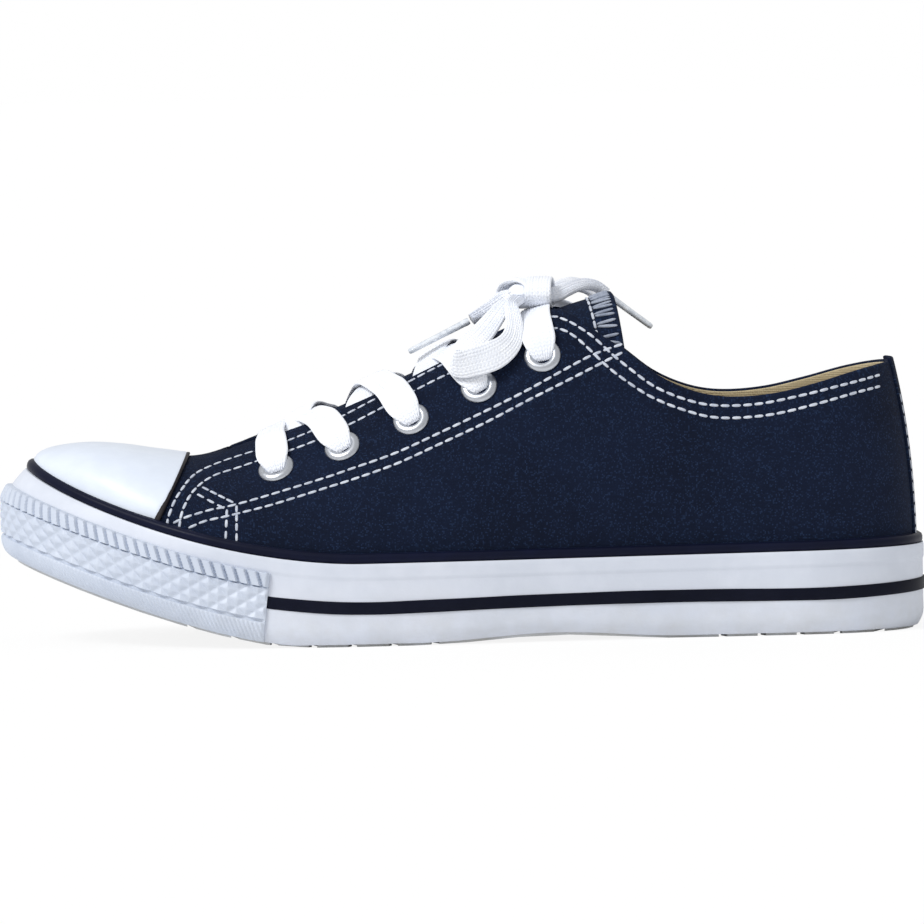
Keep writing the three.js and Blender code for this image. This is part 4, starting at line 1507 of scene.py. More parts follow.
@dataclass
class Eyelets:
    """Rolled metal eyelets, five on each side."""

    skin: Skin
    finishes: Finishes
    seat: float = 0.55
    profile: tuple = (
        (2.75, -2.6), (2.75, 0.0), (2.9, 0.55), (3.3, 0.95), (3.9, 1.08), (4.6, 0.95),
        (5.2, 0.62), (5.55, 0.2), (5.6, -0.05), (5.3, -0.15), (3.6, -0.1), (3.15, -0.4),
        (3.15, -2.6),
    )

    def build(self, shoe: Shoe) -> None:
        """Makes each eyelet, square to the canvas."""
        for side in Side:
            for number, place in enumerate(EYELETS, 1):
                at, normal = self.skin.from_side(place.from_toe, place.height, side.value, -self.seat)
                across = unit(np.cross(normal, np.array([0, 0, 1.0])))
                up = np.cross(normal, across)
                angle = np.linspace(0, 2 * np.pi, 44, endpoint=False)
                ring = np.cos(angle)[:, None] * across + np.sin(angle)[:, None] * up
                loops = [*self.profile, self.profile[0]]
                grid = np.array([at + ring * r + normal * h for r, h in loops])
                builder = MeshBuilder()
                builder.add_grid(grid, wrap=True)
                which = side.name.lower()
                piece = builder.build(f"{which}_eyelet_{number}", self.finishes.metal, 35)
                shoe.keep(piece, "metal", f"eyelet_{which}_{number}")


# ---------------- sole


def around(count: int, start: float = 0.0, end: float = 1.0, ring: bool = True) -> tuple[Array, Array]:
    """Returns stations and sides in order round the sole.

    Args:
        count: steps along each side.
        start: the first station on the outer side.
        end: the last station before the inner side takes over, at the toe.
        ring: whether the run goes on round the heel to where it began.

    Returns:
        The stations and, for each, -1 or 1.
    """
    share = np.linspace(0, 1, count)
    u = start + (end - start) * share
    inner = u[::-1][1:-1] if ring else u[::-1][1:]
    stations = np.concatenate([u, inner])
    sides = np.concatenate([np.full(len(u), -1.0), np.full(len(inner), 1.0)])
    return stations, sides


# The lower line's section: heights, and how far out as a share of the line's own depth.
STRIPE_PROFILE = ((0, -0.4), (0.15, 0.75), (0.6, 1.0), (3.3, 1.0), (3.75, 0.75), (3.9, -0.4))
# The top line's section: how far inwards from the wall's back, and heights over the wall's upper edge.
TRIM_PROFILE = (
    (0, 0), (-2, 0), (-2.45, 0.2), (-2.65, 0.8), (-2.65, 1.7), (-2.4, 2.4), (-1.7, 2.85), (0, 3),
)


@dataclass
class Sole:
    """The rubber wall round the foot, its navy lines, the toe bumper and the tread."""

    finishes: Finishes
    count: int = 200
    proud: float = 0.8
    tape: float = 5.0
    tape_proud: float = 0.28
    wave: float = 0.12
    stripe_proud: float = 0.45
    stripe_from: float = 80.5
    trim_lean: float = 0.036
    begins: float = 0.6

    def face_inset(self, s: Array, share: Array) -> Array:
        """Returns how far the wall's face is drawn in at a share of its height."""
        lean = np.maximum(share - self.begins, 0) / (1 - self.begins)
        rounding = np.maximum(1 - share / 0.2, 0)
        return FORM.toe_lean.at(s) * lean**1.7 + FORM.edge_round * rounding**2

    def face(self, u: Array, side: Array, heights: Array, proud: Array) -> Array:
        """Returns points on the wall's face.

        Args:
            u: stations.
            side: -1 or 1 for each.
            heights: rows of heights in millimetres over the wall's lower edge, for each station.
            proud: how far outside the face, for each point.

        Returns:
            Rows by stations by 3.
        """
        s = FORM.station(u)
        low = FORM.underside(s) + self.proud
        high = FORM.foxing_top(s)
        share = heights / (high - low)
        by = self.face_inset(s[None, :], share) - proud
        rows = np.broadcast_to(u, heights.shape)
        sides = np.broadcast_to(side, heights.shape)
        plan = FORM.inset(rows, sides, by)
        return np.concatenate([plan, (low + heights)[..., None]], -1)

    def wall(self) -> bpy.types.Object:
        """Makes the wall, with the step of its top tape and slight waves from its making."""
        u, side = around(self.count)
        s = FORM.station(u)
        full = FORM.foxing_top(s) - FORM.underside(s) - self.proud
        tape = full - self.tape
        below = np.linspace(0, 1, 18)[:, None] * (tape - 0.25)
        above = tape + 0.1 + (full - tape - 0.1) * np.linspace(0, 1, 9)[:, None]
        heights = np.concatenate([below, above])
        wave = self.wave * np.sin(s / 7.0 + side) * np.sin(s / 17.0)
        fades = np.clip(heights / 8, 0, 1) * np.clip((full - heights) / 6, 0, 1)
        over = np.clip((heights - tape) / 0.6, 0, 1) * np.clip((full - heights) / 0.7 + 0.35, 0, 1)
        proud = np.where(heights > tape, self.tape_proud * over, 0) + wave * fades
        outer = self.face(u, side, heights, proud)
        back = FORM.rim_inset(s) - FORM.gap
        front = np.full_like(s, FORM.foxing_thick)
        ledge = FORM.footbed(s) + FORM.gap
        levels = (FORM.foxing_top(s), ledge, ledge, FORM.underside(s) + self.proud)
        inner = []
        for by, z in zip((back, back, front, front), levels):
            inner.append(np.concatenate([FORM.inset(u, side, by), z[:, None]], -1))
        grid = np.concatenate([outer, np.array(inner), outer[:1]])
        builder = MeshBuilder()
        builder.add_grid(grid, wrap=True)
        return builder.build("rubber_wall", self.finishes.wall, sharp=35)

    def stripe(self) -> bpy.types.Object:
        """Makes the lower navy line, from one end of the bumper round the heel to the other."""
        end = float(FORM.station_of(self.stripe_from))
        u = np.concatenate([np.linspace(end, 0, 150), np.linspace(0, end, 150)[1:]])
        side = np.concatenate([np.full(150, -1.0), np.full(149, 1.0)])
        s = FORM.station(u)
        level = Curve(LOWER_LINE, "height")(s) - self.proud - FORM.underside(s)
        heights = np.array([level + high for high, _ in STRIPE_PROFILE])
        proud = np.array([np.full(len(u), self.stripe_proud * out) for _, out in STRIPE_PROFILE])
        grid = self.face(u, side, heights, proud)
        builder = MeshBuilder()
        rows, columns = grid.shape[:2]
        first = builder.add_grid(np.concatenate([grid, grid[:1]]))
        builder.close_columns(first, rows, columns)
        return builder.build("lower_line", self.finishes.stripe, sharp=60)

    def trim(self) -> bpy.types.Object:
        """Makes the navy line on top of the wall."""
        u, side = around(self.count)
        s = FORM.station(u)
        back = FORM.rim_inset(s) - FORM.gap
        low = FORM.foxing_top(s) + 0.05
        grid = []
        for by, high in TRIM_PROFILE:
            lean = FORM.toe_lean.at(s) * self.trim_lean * high
            plan = FORM.inset(u, side, back + by + lean)
            grid.append(np.concatenate([plan, (low + high)[:, None]], -1))
        builder = MeshBuilder()
        builder.add_grid(np.array([*grid, grid[0]]), wrap=True)
        return builder.build("top_line", self.finishes.line, sharp=60)

    def build(self, shoe: Shoe) -> None:
        """Makes the sole's pieces and puts them on the shoe."""
        shoe.keep(self.wall(), "wall_rubber", "foxing")
        shoe.keep(self.stripe(), "line_rubber")
        shoe.keep(self.trim(), "line_rubber", "foxing_trim")
        shoe.keep(Bumper(self).build(), "wall_rubber", "toe_bumper")
        tread = bpy.data.objects["outsole"]
        tread.data.materials.clear()
        tread.data.materials.append(self.finishes.tread)


@dataclass
class Bumper:
    """The moulded toe bumper: slanted ribs, rows of little pyramids, and a finely ribbed foot."""

    sole: Sole
    thick: float = 1.75
    high: float = 21.2
    end_top: float = 83.0
    end_bottom: float = 80.5
    columns: int = 640
    rows: int = 72
    foot: float = 6.0
    foot_pitch: float = 1.5
    groove: float = 0.9
    diamonds: float = 9.6
    diamond_wide: float = 6.2
    diamond_high: float = 4.9
    rib_pitch: float = 3.55
    rib_slant: float = 0.4
    rib_gap: float = 0.45
    groove_relief: float = -0.2
    relief: float = 1.05

    def pattern(self, along: Array, up: Array) -> Array:
        """Returns the relief, from 0 to 1, at a place on the bumper's face."""
        foot_ribs = 0.5 + 0.5 * np.cos(2 * np.pi * (along - 0.5 * up) / self.foot_pitch)
        foot = 0.35 + 0.35 * foot_ribs * np.clip((self.foot - up) / 0.6, 0, 1) * np.clip(up / 1.2, 0, 1)
        low = self.foot + self.groove
        p = along / self.diamond_wide
        q = (up - low) / self.diamond_high
        one = np.abs((p + q) % 1 - 0.5) * 2
        other = np.abs((p - q) % 1 - 0.5) * 2
        pyramid = 0.1 + 0.75 * np.clip(1.35 - 1.35 * np.maximum(one, other), 0, 1)
        high = low + self.diamonds
        slant = 0.5 + 0.5 * np.cos(2 * np.pi * (along - self.rib_slant * (up - high)) / self.rib_pitch)
        ribs = 1.5 * np.clip(slant * 4.0, 0, 1) ** 0.7 - 0.4
        top = high + self.rib_gap
        out = np.where(up < self.foot, foot, self.groove_relief)
        out = np.where((up >= low) & (up < high), pyramid, out)
        return np.where(up >= top, ribs, out)

    def build(self) -> bpy.types.Object:
        """Makes the bumper."""
        end = float(FORM.station_of(self.end_top))
        start = (self.end_top - self.end_bottom) / self.high
        half = self.columns // 2
        dense, side = around(half * 6, end, 1.0, ring=False)
        level = np.full((1, len(dense)), self.high / 2)
        line = self.sole.face(dense, side, level, np.full_like(level, self.thick))[0]
        arc = lengths_along(line[:, :2])
        even = np.linspace(0, arc[-1], self.columns)
        signed = np.interp(even, arc, np.cumsum(np.concatenate([[0], np.abs(np.diff(dense))])))
        reach = 1 - end
        u = np.where(signed < reach, end + signed, 1 - (signed - reach))
        sides = np.where(signed < reach, -1.0, 1.0)
        heights = np.linspace(0, self.high, self.rows)[:, None] * np.ones(self.columns)
        lean = start * (heights - self.high)
        s = FORM.station(u)[None, :] + np.zeros_like(heights)
        near_end = np.clip((s - 60) / 20, 0, 1)
        u_rows = FORM.station_of(s + lean * near_end)
        along = np.broadcast_to(even, heights.shape)
        relief = self.pattern(along, heights)
        edge = np.clip(np.minimum(even, arc[-1] - even) / 0.8, 0, 1)[None, :]
        proud = self.thick - 0.8 + self.relief * relief * edge
        proud[-1] -= 0.3
        outer = self._face(u_rows, sides, heights, proud)
        ends = [-1, 0]
        inner = self._face(u_rows[ends], sides, heights[ends], np.full((2, self.columns), 0.05))
        builder = MeshBuilder()
        grid = np.concatenate([outer, inner, outer[:1]])
        builder.close_columns(builder.add_grid(grid), len(grid) - 1, self.columns)
        return builder.build("toe_bumper_rubber", self.sole.finishes.bumper, sharp=30)

    def _face(self, u: Array, sides: Array, heights: Array, proud: Array) -> Array:
        """Returns points on the wall's face at stations that differ from row to row."""
        s = FORM.station(u)
        low = FORM.underside(s) + self.sole.proud
        share = heights / (FORM.foxing_top(s) - low)
        by = self.sole.face_inset(s, share) - proud
        plan = FORM.inset(u, np.broadcast_to(sides, u.shape), by)
        return np.concatenate([plan, (low + heights)[..., None]], -1)


# ---------------- upper


@dataclass
class Upper:
    """The canvas upper with its lining, toe cap, heel strip, tongue and insole."""

    skin: Skin
    finishes: Finishes
    quarter_proud: float = 0.55
    quarter_thick: float = 1.7
    quarter_from: float = 50.2
    lining_thick: float = 0.7
    cap_proud: float = 1.7
    cap_thick: float = 1.5
    cap_foot: float = 31.0
    cap_rake: float = 0.48
    cap_floor: float = 37.0
    cap_line_points: int = 40
    cap_line_gap: int = 3
    cap_seam_wide: float = 0.3
    cap_seam_proud: float = 0.85
    cap_seam_thick: float = 0.8
    inner_rise: float = 1.5
    inner_at: float = 79.0
    inner_wide: float = 14.0
    cap_thin: float = 0.75
    cap_thin_over: float = 9.0
    cap_tuck: float = 0.8
    cap_tuck_over: float = 7.0
    cap_roll: float = 0.7
    cap_over_wall: float = 1.2
    lining_from: float = 64.0
    lining_depth: float = 1.25
    vamp_to: float = 104.0
    vamp_depth: float = 0.25
    vamp_thick: float = 1.2
    throat_front: float = 68.0
    throat_half: float = 15.0
    strip_half: float = 9.5
    strip_proud: float = 1.25
    strip_thick: float = 1.2
    strip_foot: float = 24.0
    strip_at: float = 279.0
    tongue_from: float = 56.0
    tongue_to: float = 185.8
    tongue_sweep: float = 5.0
    tongue_half: float = 22.0
    tongue_widens: float = 4.5
    tongue_depth: float = 3.5
    tongue_thick: float = 2.6
    insole_inset: float = 2.3
    insole_high: float = 3.3
    insole_dish: float = 1.2
    insole_thick: float = 2.6

    def quarter(self) -> bpy.types.Object:
        """Makes both quarters as one cloth, from the cap on one side round the heel to the other side."""
        grid = self._sides(self.quarter_from, 150, 44, 0.0)
        normals = grid_normals(grid)
        outer = grid + normals * self.quarter_proud
        return shell("canvas_quarters", outer, self.quarter_thick, self.finishes.canvas, normals)

    def _sides(self, start: float, count: int, rows: int, below: float) -> Array:
        """Returns a grid of the last from the rim to the quarter's edge.

        Args:
            start: where it begins, from the toe, on both sides.
            count: stations along each side.
            rows: steps up each rib.
            below: how far below the edge the grid stops.

        Returns:
            Rows by stations by 3.
        """
        first = float(FORM.station_of(start))
        u = first * (1 - np.linspace(0, 1, count))
        u = np.concatenate([u, u[::-1][1:]])
        side = np.concatenate([np.full(count, -1.0), np.full(count - 1, 1.0)])
        ribs = Ribs(u, side)
        top = ribs.cut(Curve(QUARTER_EDGE, "height")) - below
        rise = self.inner_rise * np.exp(-(((FORM.station(u) - self.inner_at) / self.inner_wide) ** 2))
        top += np.where(side > 0, rise, 0.0)
        share = np.linspace(0, 1, rows)[:, None] ** 0.85
        return ribs.read(np.maximum(top, 1.0) * share)

    def lining(self) -> bpy.types.Object:
        """Makes the facing inside the quarters, a little higher than their edge at the collar."""
        grid = self._sides(self.lining_from, 130, 34, 0.15)
        normals = grid_normals(grid)
        inner = grid - normals * self.lining_depth
        return shell("collar_lining", inner, self.lining_thick, self.finishes.lining, normals)

    def _slot_cut(self, points: Array) -> Array:
        """Returns how far inside the throat each point lies from above; above 0 is inside."""
        s, y = points[..., 0], points[..., 1] - FORM.middle(points[..., 0])
        round_s = self.throat_front + self.throat_half
        nose = self.throat_half - np.hypot(s - round_s, y)
        straight = self.throat_half - np.abs(y)
        return np.where(s < round_s, nose, straight)

    def vamp(self) -> bpy.types.Object:
        """Makes the vamp, which runs under the cap and the quarters, up to the throat's rounded end."""
        first = float(FORM.station_of(self.vamp_to))
        u, side = around(150, first, 1.0, ring=False)
        ribs = Ribs(u, side)
        inside = self._slot_cut(ribs.points)
        lengths = ribs.whole().copy()
        for k in range(len(u)):
            if inside[k].max() <= 0:
                continue
            i = int(np.argmax(inside[k] > 0))
            lengths[k] = ribs.crossing(k, inside[k], i) if i else 0.0
        grid = ribs.read(lengths * np.linspace(0, 1, 48)[:, None])
        normals = grid_normals(grid)
        outer = grid - normals * self.vamp_depth
        return shell("canvas_vamp", outer, self.vamp_thick, self.finishes.canvas, normals)

    def _before_edge(self, points: Array) -> Array:
        """Returns how far each point lies before the cap's back edge, a straight line from the side."""
        ahead = self.cap_foot + self.cap_rake * points[..., 2] - points[..., 0]
        return ahead / math.hypot(1.0, self.cap_rake)

    def _cap_line(self) -> tuple[Array, Array]:
        """Returns the cap's back edge on the last, from side to side, and the way it faces."""
        crown = self.cap_foot
        for _ in range(8):
            crown = self.cap_foot + self.cap_rake * float(FORM.crown(crown))
        top = float(FORM.crown(crown))
        low = float(FORM.foxing_top(self.cap_foot + self.cap_rake * self.cap_floor))
        share = np.linspace(0, 1, self.cap_line_points)[: -self.cap_line_gap]
        heights = top - (top - low) * (1 - share) ** 2
        met = []
        for side in Side:
            places = [self.cap_foot + self.cap_rake * z for z in heights]
            run = [self.skin.from_side(s, z, side.value) for s, z in zip(places, heights)]
            met += [*run, *self._cap_crown(crown)] if side is Side.OUTER else run[::-1]
        return np.array([m[0] for m in met]), unit(np.array([m[1] for m in met]))

    def _cap_crown(self, crown: float) -> list[tuple[Array, Array]]:
        """Returns the middle stretch of the cap's back edge, and the way it faces."""
        met = []
        for y in np.linspace(-4.0, 4.0, 5) + float(FORM.middle(crown)):
            s = crown
            for _ in range(3):
                s = self.cap_foot + self.cap_rake * float(self.skin.from_above(s, y)[0][2])
            met.append(self.skin.from_above(s, y))
        return met

    def cap_seam(self) -> bpy.types.Object:
        """Makes the dark line behind the cap's back edge: partly old adhesive, partly painted shade under
        the edge.
        """
        line, faces = self._cap_line()
        back = unit(np.cross(np.gradient(line, axis=0), faces))
        back *= np.sign(back[:, :1])
        grid = np.array([line + back * w for w in (-self.cap_seam_thick, -0.2, self.cap_seam_wide)])
        normals = np.broadcast_to(faces, grid.shape)
        outer = grid + normals * self.cap_seam_proud
        return shell("toe_cap_seam", outer, self.cap_seam_thick, self.finishes.glue_and_shade, normals)

    def cap(self) -> bpy.types.Object:
        """Makes the rubber toe cap, with a rolled back edge."""
        behind = self.cap_foot + self.cap_rake * float(FORM.crown(60.0)) + 1.0
        u, side = around(170, float(FORM.station_of(behind)), 1.0, ring=False)
        ribs = Ribs(u, side)
        ahead = self._before_edge(ribs.points)
        floor = FORM.foxing_top(FORM.station(u)) + self.cap_over_wall
        start = np.zeros(len(u))
        end = ribs.whole().copy()
        kept = np.ones(len(u), bool)
        lowest = 60  # a rib's points up to the first turn of its curve
        for k in range(len(u)):
            start[k] = np.interp(floor[k], ribs.points[k, :lowest, 2], ribs.arc[k, :lowest])
            within = ribs.arc[k] >= start[k]
            inside = np.flatnonzero((ahead[k] > 0) & within)
            if not len(inside):
                kept[k] = False
                continue
            i = int(inside[0])
            if ahead[k, i - 1] <= 0 < i:
                start[k] = max(start[k], ribs.crossing(k, ahead[k], i))
            after = np.flatnonzero((ahead[k] <= 0) & (np.arange(len(ahead[k])) > i))
            if len(after):
                end[k] = ribs.crossing(k, ahead[k], int(after[0]))
        end = np.maximum(end, start + 0.05)
        share = np.linspace(0, 1, 64)[:, None]
        grid = ribs.read(start + (end - start) * share)[:, kept]
        normals = grid_normals(grid)
        back = np.maximum(self._before_edge(grid), 0.0)
        edge = np.clip(back / self.cap_roll, 0, 1)
        thinning = self.cap_thin * np.clip(1 - back / self.cap_thin_over, 0, 1) ** 1.5
        lift = self.cap_proud - thinning - 0.3 * (1 - np.sqrt(np.maximum(1 - (1 - edge) ** 2, 0)))
        foot = (end - start)[kept] * share
        lift -= self.cap_tuck * np.clip(1 - foot / self.cap_tuck_over, 0, 1) ** 2
        outer = grid + normals * lift[..., None]
        thick = self.cap_thick - self.cap_thin
        return shell("rubber_toe_cap", outer, thick, self.finishes.cap, normals)

    def _strip_grid(self) -> Array:
        """Returns the grid of the heel strip on the last, from below upwards."""
        rows = 40
        edge = Curve(QUARTER_EDGE, "height")
        across = np.linspace(-self.strip_half, self.strip_half, 17)
        grid = np.empty((rows, len(across), 3))
        heights = np.linspace(self.strip_foot, float(edge(self.strip_at)) + 0.4, rows)
        for i, z in enumerate(heights):
            for j, y in enumerate(across):
                hit = self.skin.tree.ray_cast(Vector((400.0, y, z)), Vector((-1.0, 0.0, 0.0)))
                grid[i, j] = np.array(hit[0])
        return grid

    def strip(self) -> bpy.types.Object:
        """Makes the heel strip over the back seam."""
        grid = self._strip_grid()
        normals = grid_normals(grid)
        outer = grid + normals * self.strip_proud
        return shell("heel_strip", outer, self.strip_thick, self.finishes.canvas, normals)

    def strip_rows(self) -> list[tuple[Array, Array]]:
        """Returns the lines of the stitches along both sides of the heel strip, and the way each faces."""
        grid = self._strip_grid()
        normals = grid_normals(grid)
        rows = []
        for column in (1, -2):
            faces = normals[::4, column]
            line = grid[::4, column] + faces * (self.strip_proud - 0.05)
            rows.append((line[:-1], faces[:-1]))
        return rows

    def tongue(self) -> bpy.types.Object:
        """Makes the tongue, which lies under the laces and stands out past the throat."""
        rows, columns = 90, 41
        grid = np.empty((rows, columns, 3))
        for i, t in enumerate(np.linspace(0, 1, rows)):
            half = self.tongue_half + self.tongue_widens * t
            for j, v in enumerate(np.linspace(-1, 1, columns)):
                end = self.tongue_to + self.tongue_sweep * v * v
                s = self.tongue_from + (end - self.tongue_from) * t
                grid[i, j] = self.skin.from_above(s, float(FORM.middle(s)) + v * half)[0]
        normals = smoothed(grid_normals(grid), 3)
        outer = grid - normals * (self.tongue_depth - 0.2)
        finish = self.finishes.tongue_canvas
        return shell("canvas_tongue", outer, self.tongue_thick, finish, normals)

    def insole(self) -> bpy.types.Object:
        """Makes the insole, slightly dished and standing up a little at its rim."""
        u = np.linspace(0.02, 0.98, 90)
        s = FORM.station(u)
        by = FORM.rim_inset(s) + self.insole_inset
        one, other = (FORM.inset(u, np.full(len(u), float(side.value)), by) for side in Side)
        across = np.linspace(0, 1, 29)
        grid = np.empty((len(across), len(u), 3))
        for j, v in enumerate(across):
            grid[j, :, :2] = one * (1 - v) + other * v
            grid[j, :, 2] = FORM.footbed(s) + self.insole_high + self.insole_dish * abs(2 * v - 1) ** 4
        up = np.zeros_like(grid)
        up[..., 2] = 1
        return shell("insole_cloth_top", grid, self.insole_thick, self.finishes.insole, up)

    def build(self, shoe: Shoe) -> None:
        """Makes the upper's pieces and puts them on the shoe."""
        shoe.keep(self.quarter(), "canvas", "upper")
        shoe.keep(self.vamp(), "canvas")
        shoe.keep(self.lining(), "lining")
        shoe.keep(self.cap(), "cap_rubber", "toe_cap")
        shoe.keep(self.cap_seam(), "line_rubber")
        shoe.keep(self.strip(), "canvas")
        shoe.keep(self.tongue(), "canvas", "tongue")
        shoe.keep(self.insole(), "lining", "insole")


def smoothed(vectors: Array, times: int) -> Array:
    """Returns a grid of unit vectors, each averaged with its neighbours."""
    for _ in range(times):
        wide = np.pad(vectors, ((1, 1), (1, 1), (0, 0)), mode="edge")
        near = wide[:-2, 1:-1] + wide[2:, 1:-1] + wide[1:-1, :-2] + wide[1:-1, 2:]
        vectors = unit(near + vectors * 2)
    return vectors


# ---------------- stitches


class Row(NamedTuple):
    """A line of stitches drawn from the side: distances from the toe and heights."""

    name: str
    points: tuple[tuple[float, float], ...]
    lift: float = 0.6


ROWS = (
    Row(
        "eyestay_upper",
        (
            (53.8, 37.4), (57.8, 39.1), (61.6, 40.2), (65.2, 41.1), (70.8, 42.1), (78, 43.8),
            (88, 46.6), (101.3, 50.5), (108, 52.7), (121.3, 57.2), (134.7, 63), (148.1, 69),
            (161.5, 75.3), (170.9, 80.2), (181, 85.2), (190.8, 88.6),
        ),
    ),
    Row(
        "eyestay_lower",
        (
            (58.4, 35.9), (62.6, 37.6), (66.2, 38.5), (70, 39.2), (75.4, 40.4), (83.1, 42.2),
            (101.3, 47.5), (108, 49.5), (121.3, 54), (134.6, 59.7), (148, 65.6), (161.4, 72.2),
            (170.9, 76.7), (181.9, 81.9), (190.7, 86.1),
        ),
    ),
    Row(
        "throat_outer",
        (
            (52.3, 36), (52.4, 38), (54.2, 43.2), (56.5, 46.9), (59.6, 50.5), (62.6, 52.3),
            (65.9, 53.6), (69, 54.7), (72.6, 55.8), (78.1, 57.4), (83.9, 58.9), (98, 64.2),
            (108.5, 69.2), (114.5, 72.2), (123, 76.3), (134, 81.8), (148, 87.9), (160, 93.2),
            (166, 95.8), (170.3, 96.7), (175, 95.1), (178.3, 93.1), (181.8, 90.6), (186.8, 85.9),
            (191.5, 81.9), (198.9, 76.2), (203.7, 73.7), (208.5, 71.8), (214.2, 70.2), (220.8, 69.5),
            (231.4, 69.9), (243.5, 72), (255.8, 74.7), (268.5, 77.4),
        ),
    ),
    Row(
        "throat_inner",
        (
            (55.8, 35.4), (56.1, 37.5), (56.9, 41), (58.7, 44.6), (60.5, 46.9), (62.8, 48.8),
            (66.3, 50.7), (69.6, 51.8), (72.9, 52.7), (78.9, 54.6), (88, 57.4), (98, 61), (108.5, 65.8),
            (123, 73), (134, 78.4), (148, 84.6), (160, 89.9), (166, 92.4), (170.8, 93.3), (173.3, 92.6),
            (176.4, 90.7), (179, 88.4), (181.7, 85.8), (184.6, 82.9), (188.3, 79.7), (192.9, 76.3),
            (197.6, 73.2), (203.6, 70.3), (209.3, 68.2), (215.6, 66.4), (222.5, 65.8), (235, 66.6),
            (248, 69.3), (261, 72.5), (268.5, 74),
        ),
    ),
    Row("front_bar_1", ((62.6, 47.7), (72.4, 43.0))),
    Row("front_bar_2", ((60.8, 45.9), (69.9, 41.2))),
    Row("front_post_1", ((70.3, 41.6), (69.8, 32.2))),
    Row("front_post_2", ((73.2, 42.5), (73.1, 31.8))),
)


@dataclass
class Stitching:
    """Rows of lockstitch, made by geometry nodes from points that carry their run and their face."""

    skin: Skin
    finishes: Finishes
    length: float = 2.8
    pitch: float = 3.4
    thick: float = 0.98
    flat: float = 0.62
    sink: float = 0.12

    def tree(self) -> bpy.types.NodeTree:
        """Builds the tree that sets a small thread bar on each point."""
        group = bpy.data.node_groups.new("stitches", "GeometryNodeTree")
        faces = group.interface
        faces.new_socket("Geometry", in_out="INPUT", socket_type="NodeSocketGeometry")
        for title in ("Length", "Thickness", "Flatness"):
            faces.new_socket(title, in_out="INPUT", socket_type="NodeSocketFloat")
        faces.new_socket("Thread", in_out="INPUT", socket_type="NodeSocketMaterial")
        faces.new_socket("Geometry", in_out="OUTPUT", socket_type="NodeSocketGeometry")
        tree = Tree(group)
        given = tree.add("NodeGroupInput")
        ball = tree.add("GeometryNodeMeshUVSphere", {"Segments": 8, "Rings": 6, "Radius": 0.5})
        axes = tree.add("ShaderNodeSeparateXYZ", {0: tree.add("GeometryNodeInputPosition").outputs[0]})
        blunt = tree.math("POWER", tree.times(tree.math("ABSOLUTE", axes.outputs[2]), 2.0), 0.55)
        end = tree.times(tree.math("SIGN", axes.outputs[2]), tree.times(blunt, 0.5))
        moved = tree.add("ShaderNodeCombineXYZ", {0: axes.outputs[0], 1: axes.outputs[1], 2: end})
        inputs = {"Geometry": ball.outputs[0], "Position": moved.outputs[0]}
        ball = tree.add("GeometryNodeSetPosition", inputs)
        flat = tree.times(given.outputs["Thickness"], given.outputs["Flatness"])
        spans = {0: flat, 1: given.outputs["Thickness"], 2: given.outputs["Length"]}
        size = tree.add("ShaderNodeCombineXYZ", spans)
        bar = tree.add("GeometryNodeTransform", {"Geometry": ball.outputs[0], "Scale": size.outputs[0]})
        smooth = tree.add("GeometryNodeSetShadeSmooth", {0: bar.outputs[0]})
        run = tree.add("GeometryNodeInputNamedAttribute", {"Name": "run"}, data_type="FLOAT_VECTOR")
        face = tree.add("GeometryNodeInputNamedAttribute", {"Name": "face"}, data_type="FLOAT_VECTOR")
        turned = tree.add("FunctionNodeAlignRotationToVector", {"Vector": run.outputs[0]}, axis="Z")
        settled = tree.add(
            "FunctionNodeAlignRotationToVector",
            {"Rotation": turned.outputs[0], "Vector": face.outputs[0]},
            axis="X",
            pivot_axis="Z",
        )
        inputs = {"Points": given.outputs[0], "Instance": smooth.outputs[0]}
        inputs["Rotation"] = settled.outputs[0]
        placed = tree.add("GeometryNodeInstanceOnPoints", inputs)
        real = tree.add("GeometryNodeRealizeInstances", {0: placed.outputs[0]})
        inputs = {"Geometry": real.outputs[0], "Material": given.outputs["Thread"]}
        dressed = tree.add("GeometryNodeSetMaterial", inputs)
        tree.add("NodeGroupOutput", {0: dressed.outputs[0]})
        return group

    def bars(
        self,
        name: str,
        at: Array,
        run: Array,
        face: Array,
        sizes: tuple[float, float, float],
        thread: bpy.types.Material,
    ) -> bpy.types.Object:
        """Makes one thread bar at each point.

        Args:
            name: the piece's name.
            at: the bars' middles, in millimetres from the toe.
            run: the direction of each bar.
            face: the direction each bar faces.
            sizes: a bar's length, its thickness, and its height as a share of that.
            thread: the material.

        Returns:
            The piece.
        """
        mesh = bpy.data.meshes.new(name + "_points")
        mesh.from_pydata(in_frame(at).tolist(), [], [])
        for title, values in (("run", run), ("face", face)):
            layer = mesh.attributes.new(title, "FLOAT_VECTOR", "POINT")
            layer.data.foreach_set("vector", np.asarray(values, np.float32).ravel())
        source = linked(name + "_points", mesh)
        modifier = source.modifiers.new("stitches", "NODES")
        modifier.node_group = self.group
        length, thick, flat = sizes
        wanted = {"Length": length * MM, "Thickness": thick * MM, "Flatness": flat, "Thread": thread}
        for socket in self.group.interface.items_tree:
            if socket.in_out == "INPUT" and socket.name in wanted:
                modifier[socket.identifier] = wanted[socket.name]
        evaluated = source.evaluated_get(bpy.context.evaluated_depsgraph_get())
        made = bpy.data.meshes.new_from_object(evaluated)
        made.name = name
        source.modifiers.clear()
        bpy.data.objects.remove(source)
        return linked(name, made)

    def along(self, line: Array, faces: Array) -> tuple[Array, Array, Array]:
        """Returns the middles, runs and faces of stitches set evenly along a line."""
        rows = np.concatenate([line, faces], 1)
        count = max(int(round(length_of(line) / self.pitch)), 1)
        fine = spline(rows, count * 12 + 1)
        run = unit(np.gradient(fine[:, :3], axis=0))
        picks = np.arange(count) * 12 + 6
        return fine[picks, :3], run[picks], unit(fine[picks, 3:6])

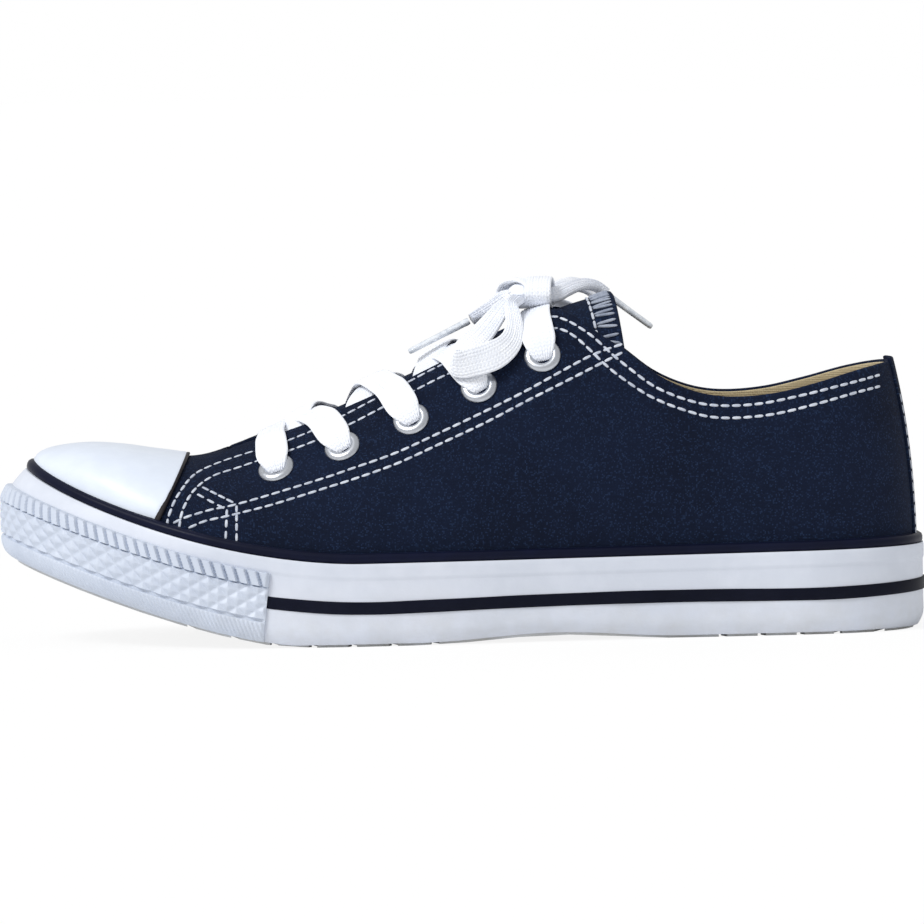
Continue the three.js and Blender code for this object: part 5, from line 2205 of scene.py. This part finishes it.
    def build(self, shoe: Shoe, lines: Sequence[tuple[Array, Array]]) -> None:
        """Sews every row on both sides.

        Args:
            shoe: the shoe that gets the stitches.
            lines: more lines to sew, each with the way it faces.
        """
        self.group = self.tree()
        every = [self.along(line, faces) for line, faces in lines]
        for side in Side:
            for row in ROWS:
                drawn = self._dense(row.points)
                met = [self.skin.from_side(s, z, side.value, self.sink - row.lift) for s, z in drawn]
                at = np.array([m[0] for m in met])
                face = np.array([m[1] for m in met])
                every.append(self.along(at, face))
        at, run, face = (np.concatenate([part[k] for part in every]) for k in range(3))
        sizes = (self.length, self.thick, self.flat)
        sewn = self.bars("quarter_stitches", at, run, face, sizes, self.finishes.thread)
        shoe.keep(sewn, "thread")

    @staticmethod
    def _dense(points: tuple) -> Array:
        """Returns a drawn line with points every few millimetres."""
        drawn = np.array([[s, z, 0.0] for s, z in points])
        length = length_of(drawn)
        if len(drawn) < 3:
            share = np.linspace(0, 1, max(int(length / 3), 3))[:, None]
            return (drawn[0] + (drawn[1] - drawn[0]) * share)[:, :2]
        return spline(drawn, max(int(length / 2.5), 4))[:, :2]


@dataclass
class TongueEnd:
    """The tongue's raw end, bound with whip stitches behind a row of chain stitch."""

    upper: Upper
    stitching: Stitching
    wide: float = 5.6
    pitch: float = 1.5
    half: float = 26.0
    lift: float = 0.4
    chain_gap: float = 0.6
    chain_points: int = 40

    def _end(self, v: float) -> float:
        """Returns how far from the toe the tongue ends, at a share of its half width."""
        return self.upper.tongue_to + self.upper.tongue_sweep * v * v

    def whip(self) -> bpy.types.Object:
        """Makes the stitches that bind the raw end, every other one slanting the other way."""
        depth = self.upper.tongue_depth - self.lift
        at, run, face = [], [], []
        for k, v in enumerate(np.arange(1 - self.half, self.half - 1, self.pitch) / self.half):
            end = self._end(v)
            middle = float(FORM.middle(end))
            skew = 0.35 if k % 2 else -0.15
            points = []
            for back in (self.wide, self.wide / 2, 0.2):
                y = middle + v * self.half + skew * back * 0.3
                points.append(self.upper.skin.from_above(end - back, y, depth))
            at.append((points[0][0] + points[2][0]) / 2)
            run.append(unit(points[2][0] - points[0][0]))
            face.append(points[1][1])
        sizes = (self.wide + 0.6, 1.1, 0.75)
        places = (np.array(at), np.array(run), np.array(face))
        return self.stitching.bars("tongue_whip_stitches", *places, sizes, self.upper.finishes.whip)

    def chain(self) -> bpy.types.Object:
        """Makes the row of chain stitch behind the binding."""
        depth = self.upper.tongue_depth - self.lift
        line, faces = [], []
        for v in np.linspace(-0.97, 0.97, self.chain_points):
            end = self._end(v) - self.wide - self.chain_gap
            y = float(FORM.middle(end)) + v * self.half
            point, normal = self.upper.skin.from_above(end, y, depth)
            line.append(point)
            faces.append(normal)
        places = self.stitching.along(np.array(line), np.array(faces))
        sizes = (3.0, 0.9, 0.7)
        return self.stitching.bars("tongue_chain_row", *places, sizes, self.upper.finishes.thread)

    def build(self, shoe: Shoe) -> None:
        """Sews the binding over the tongue's end and the chain row behind it."""
        shoe.keep(self.whip(), "thread")
        shoe.keep(self.chain(), "thread")


def main() -> None:
    """Builds the shoe, piece by piece, and reports each one."""
    logging.basicConfig(level=logging.INFO, format="%(name)s: %(message)s", stream=sys.stdout)
    Studio().build()
    finishes = Finishes()
    shoe = Shoe()
    skin = Skin()
    Bow(finishes).build(shoe)
    Lacing(skin, finishes).build(shoe)
    Sole(finishes).build(shoe)
    upper = Upper(skin, finishes)
    upper.build(shoe)
    Eyelets(skin, finishes).build(shoe)
    stitching = Stitching(skin, finishes)
    stitching.build(shoe, upper.strip_rows())
    TongueEnd(upper, stitching).build(shoe)
    log.info("%d pieces", len(shoe.pieces))


if __name__ == "__main__":
    main()
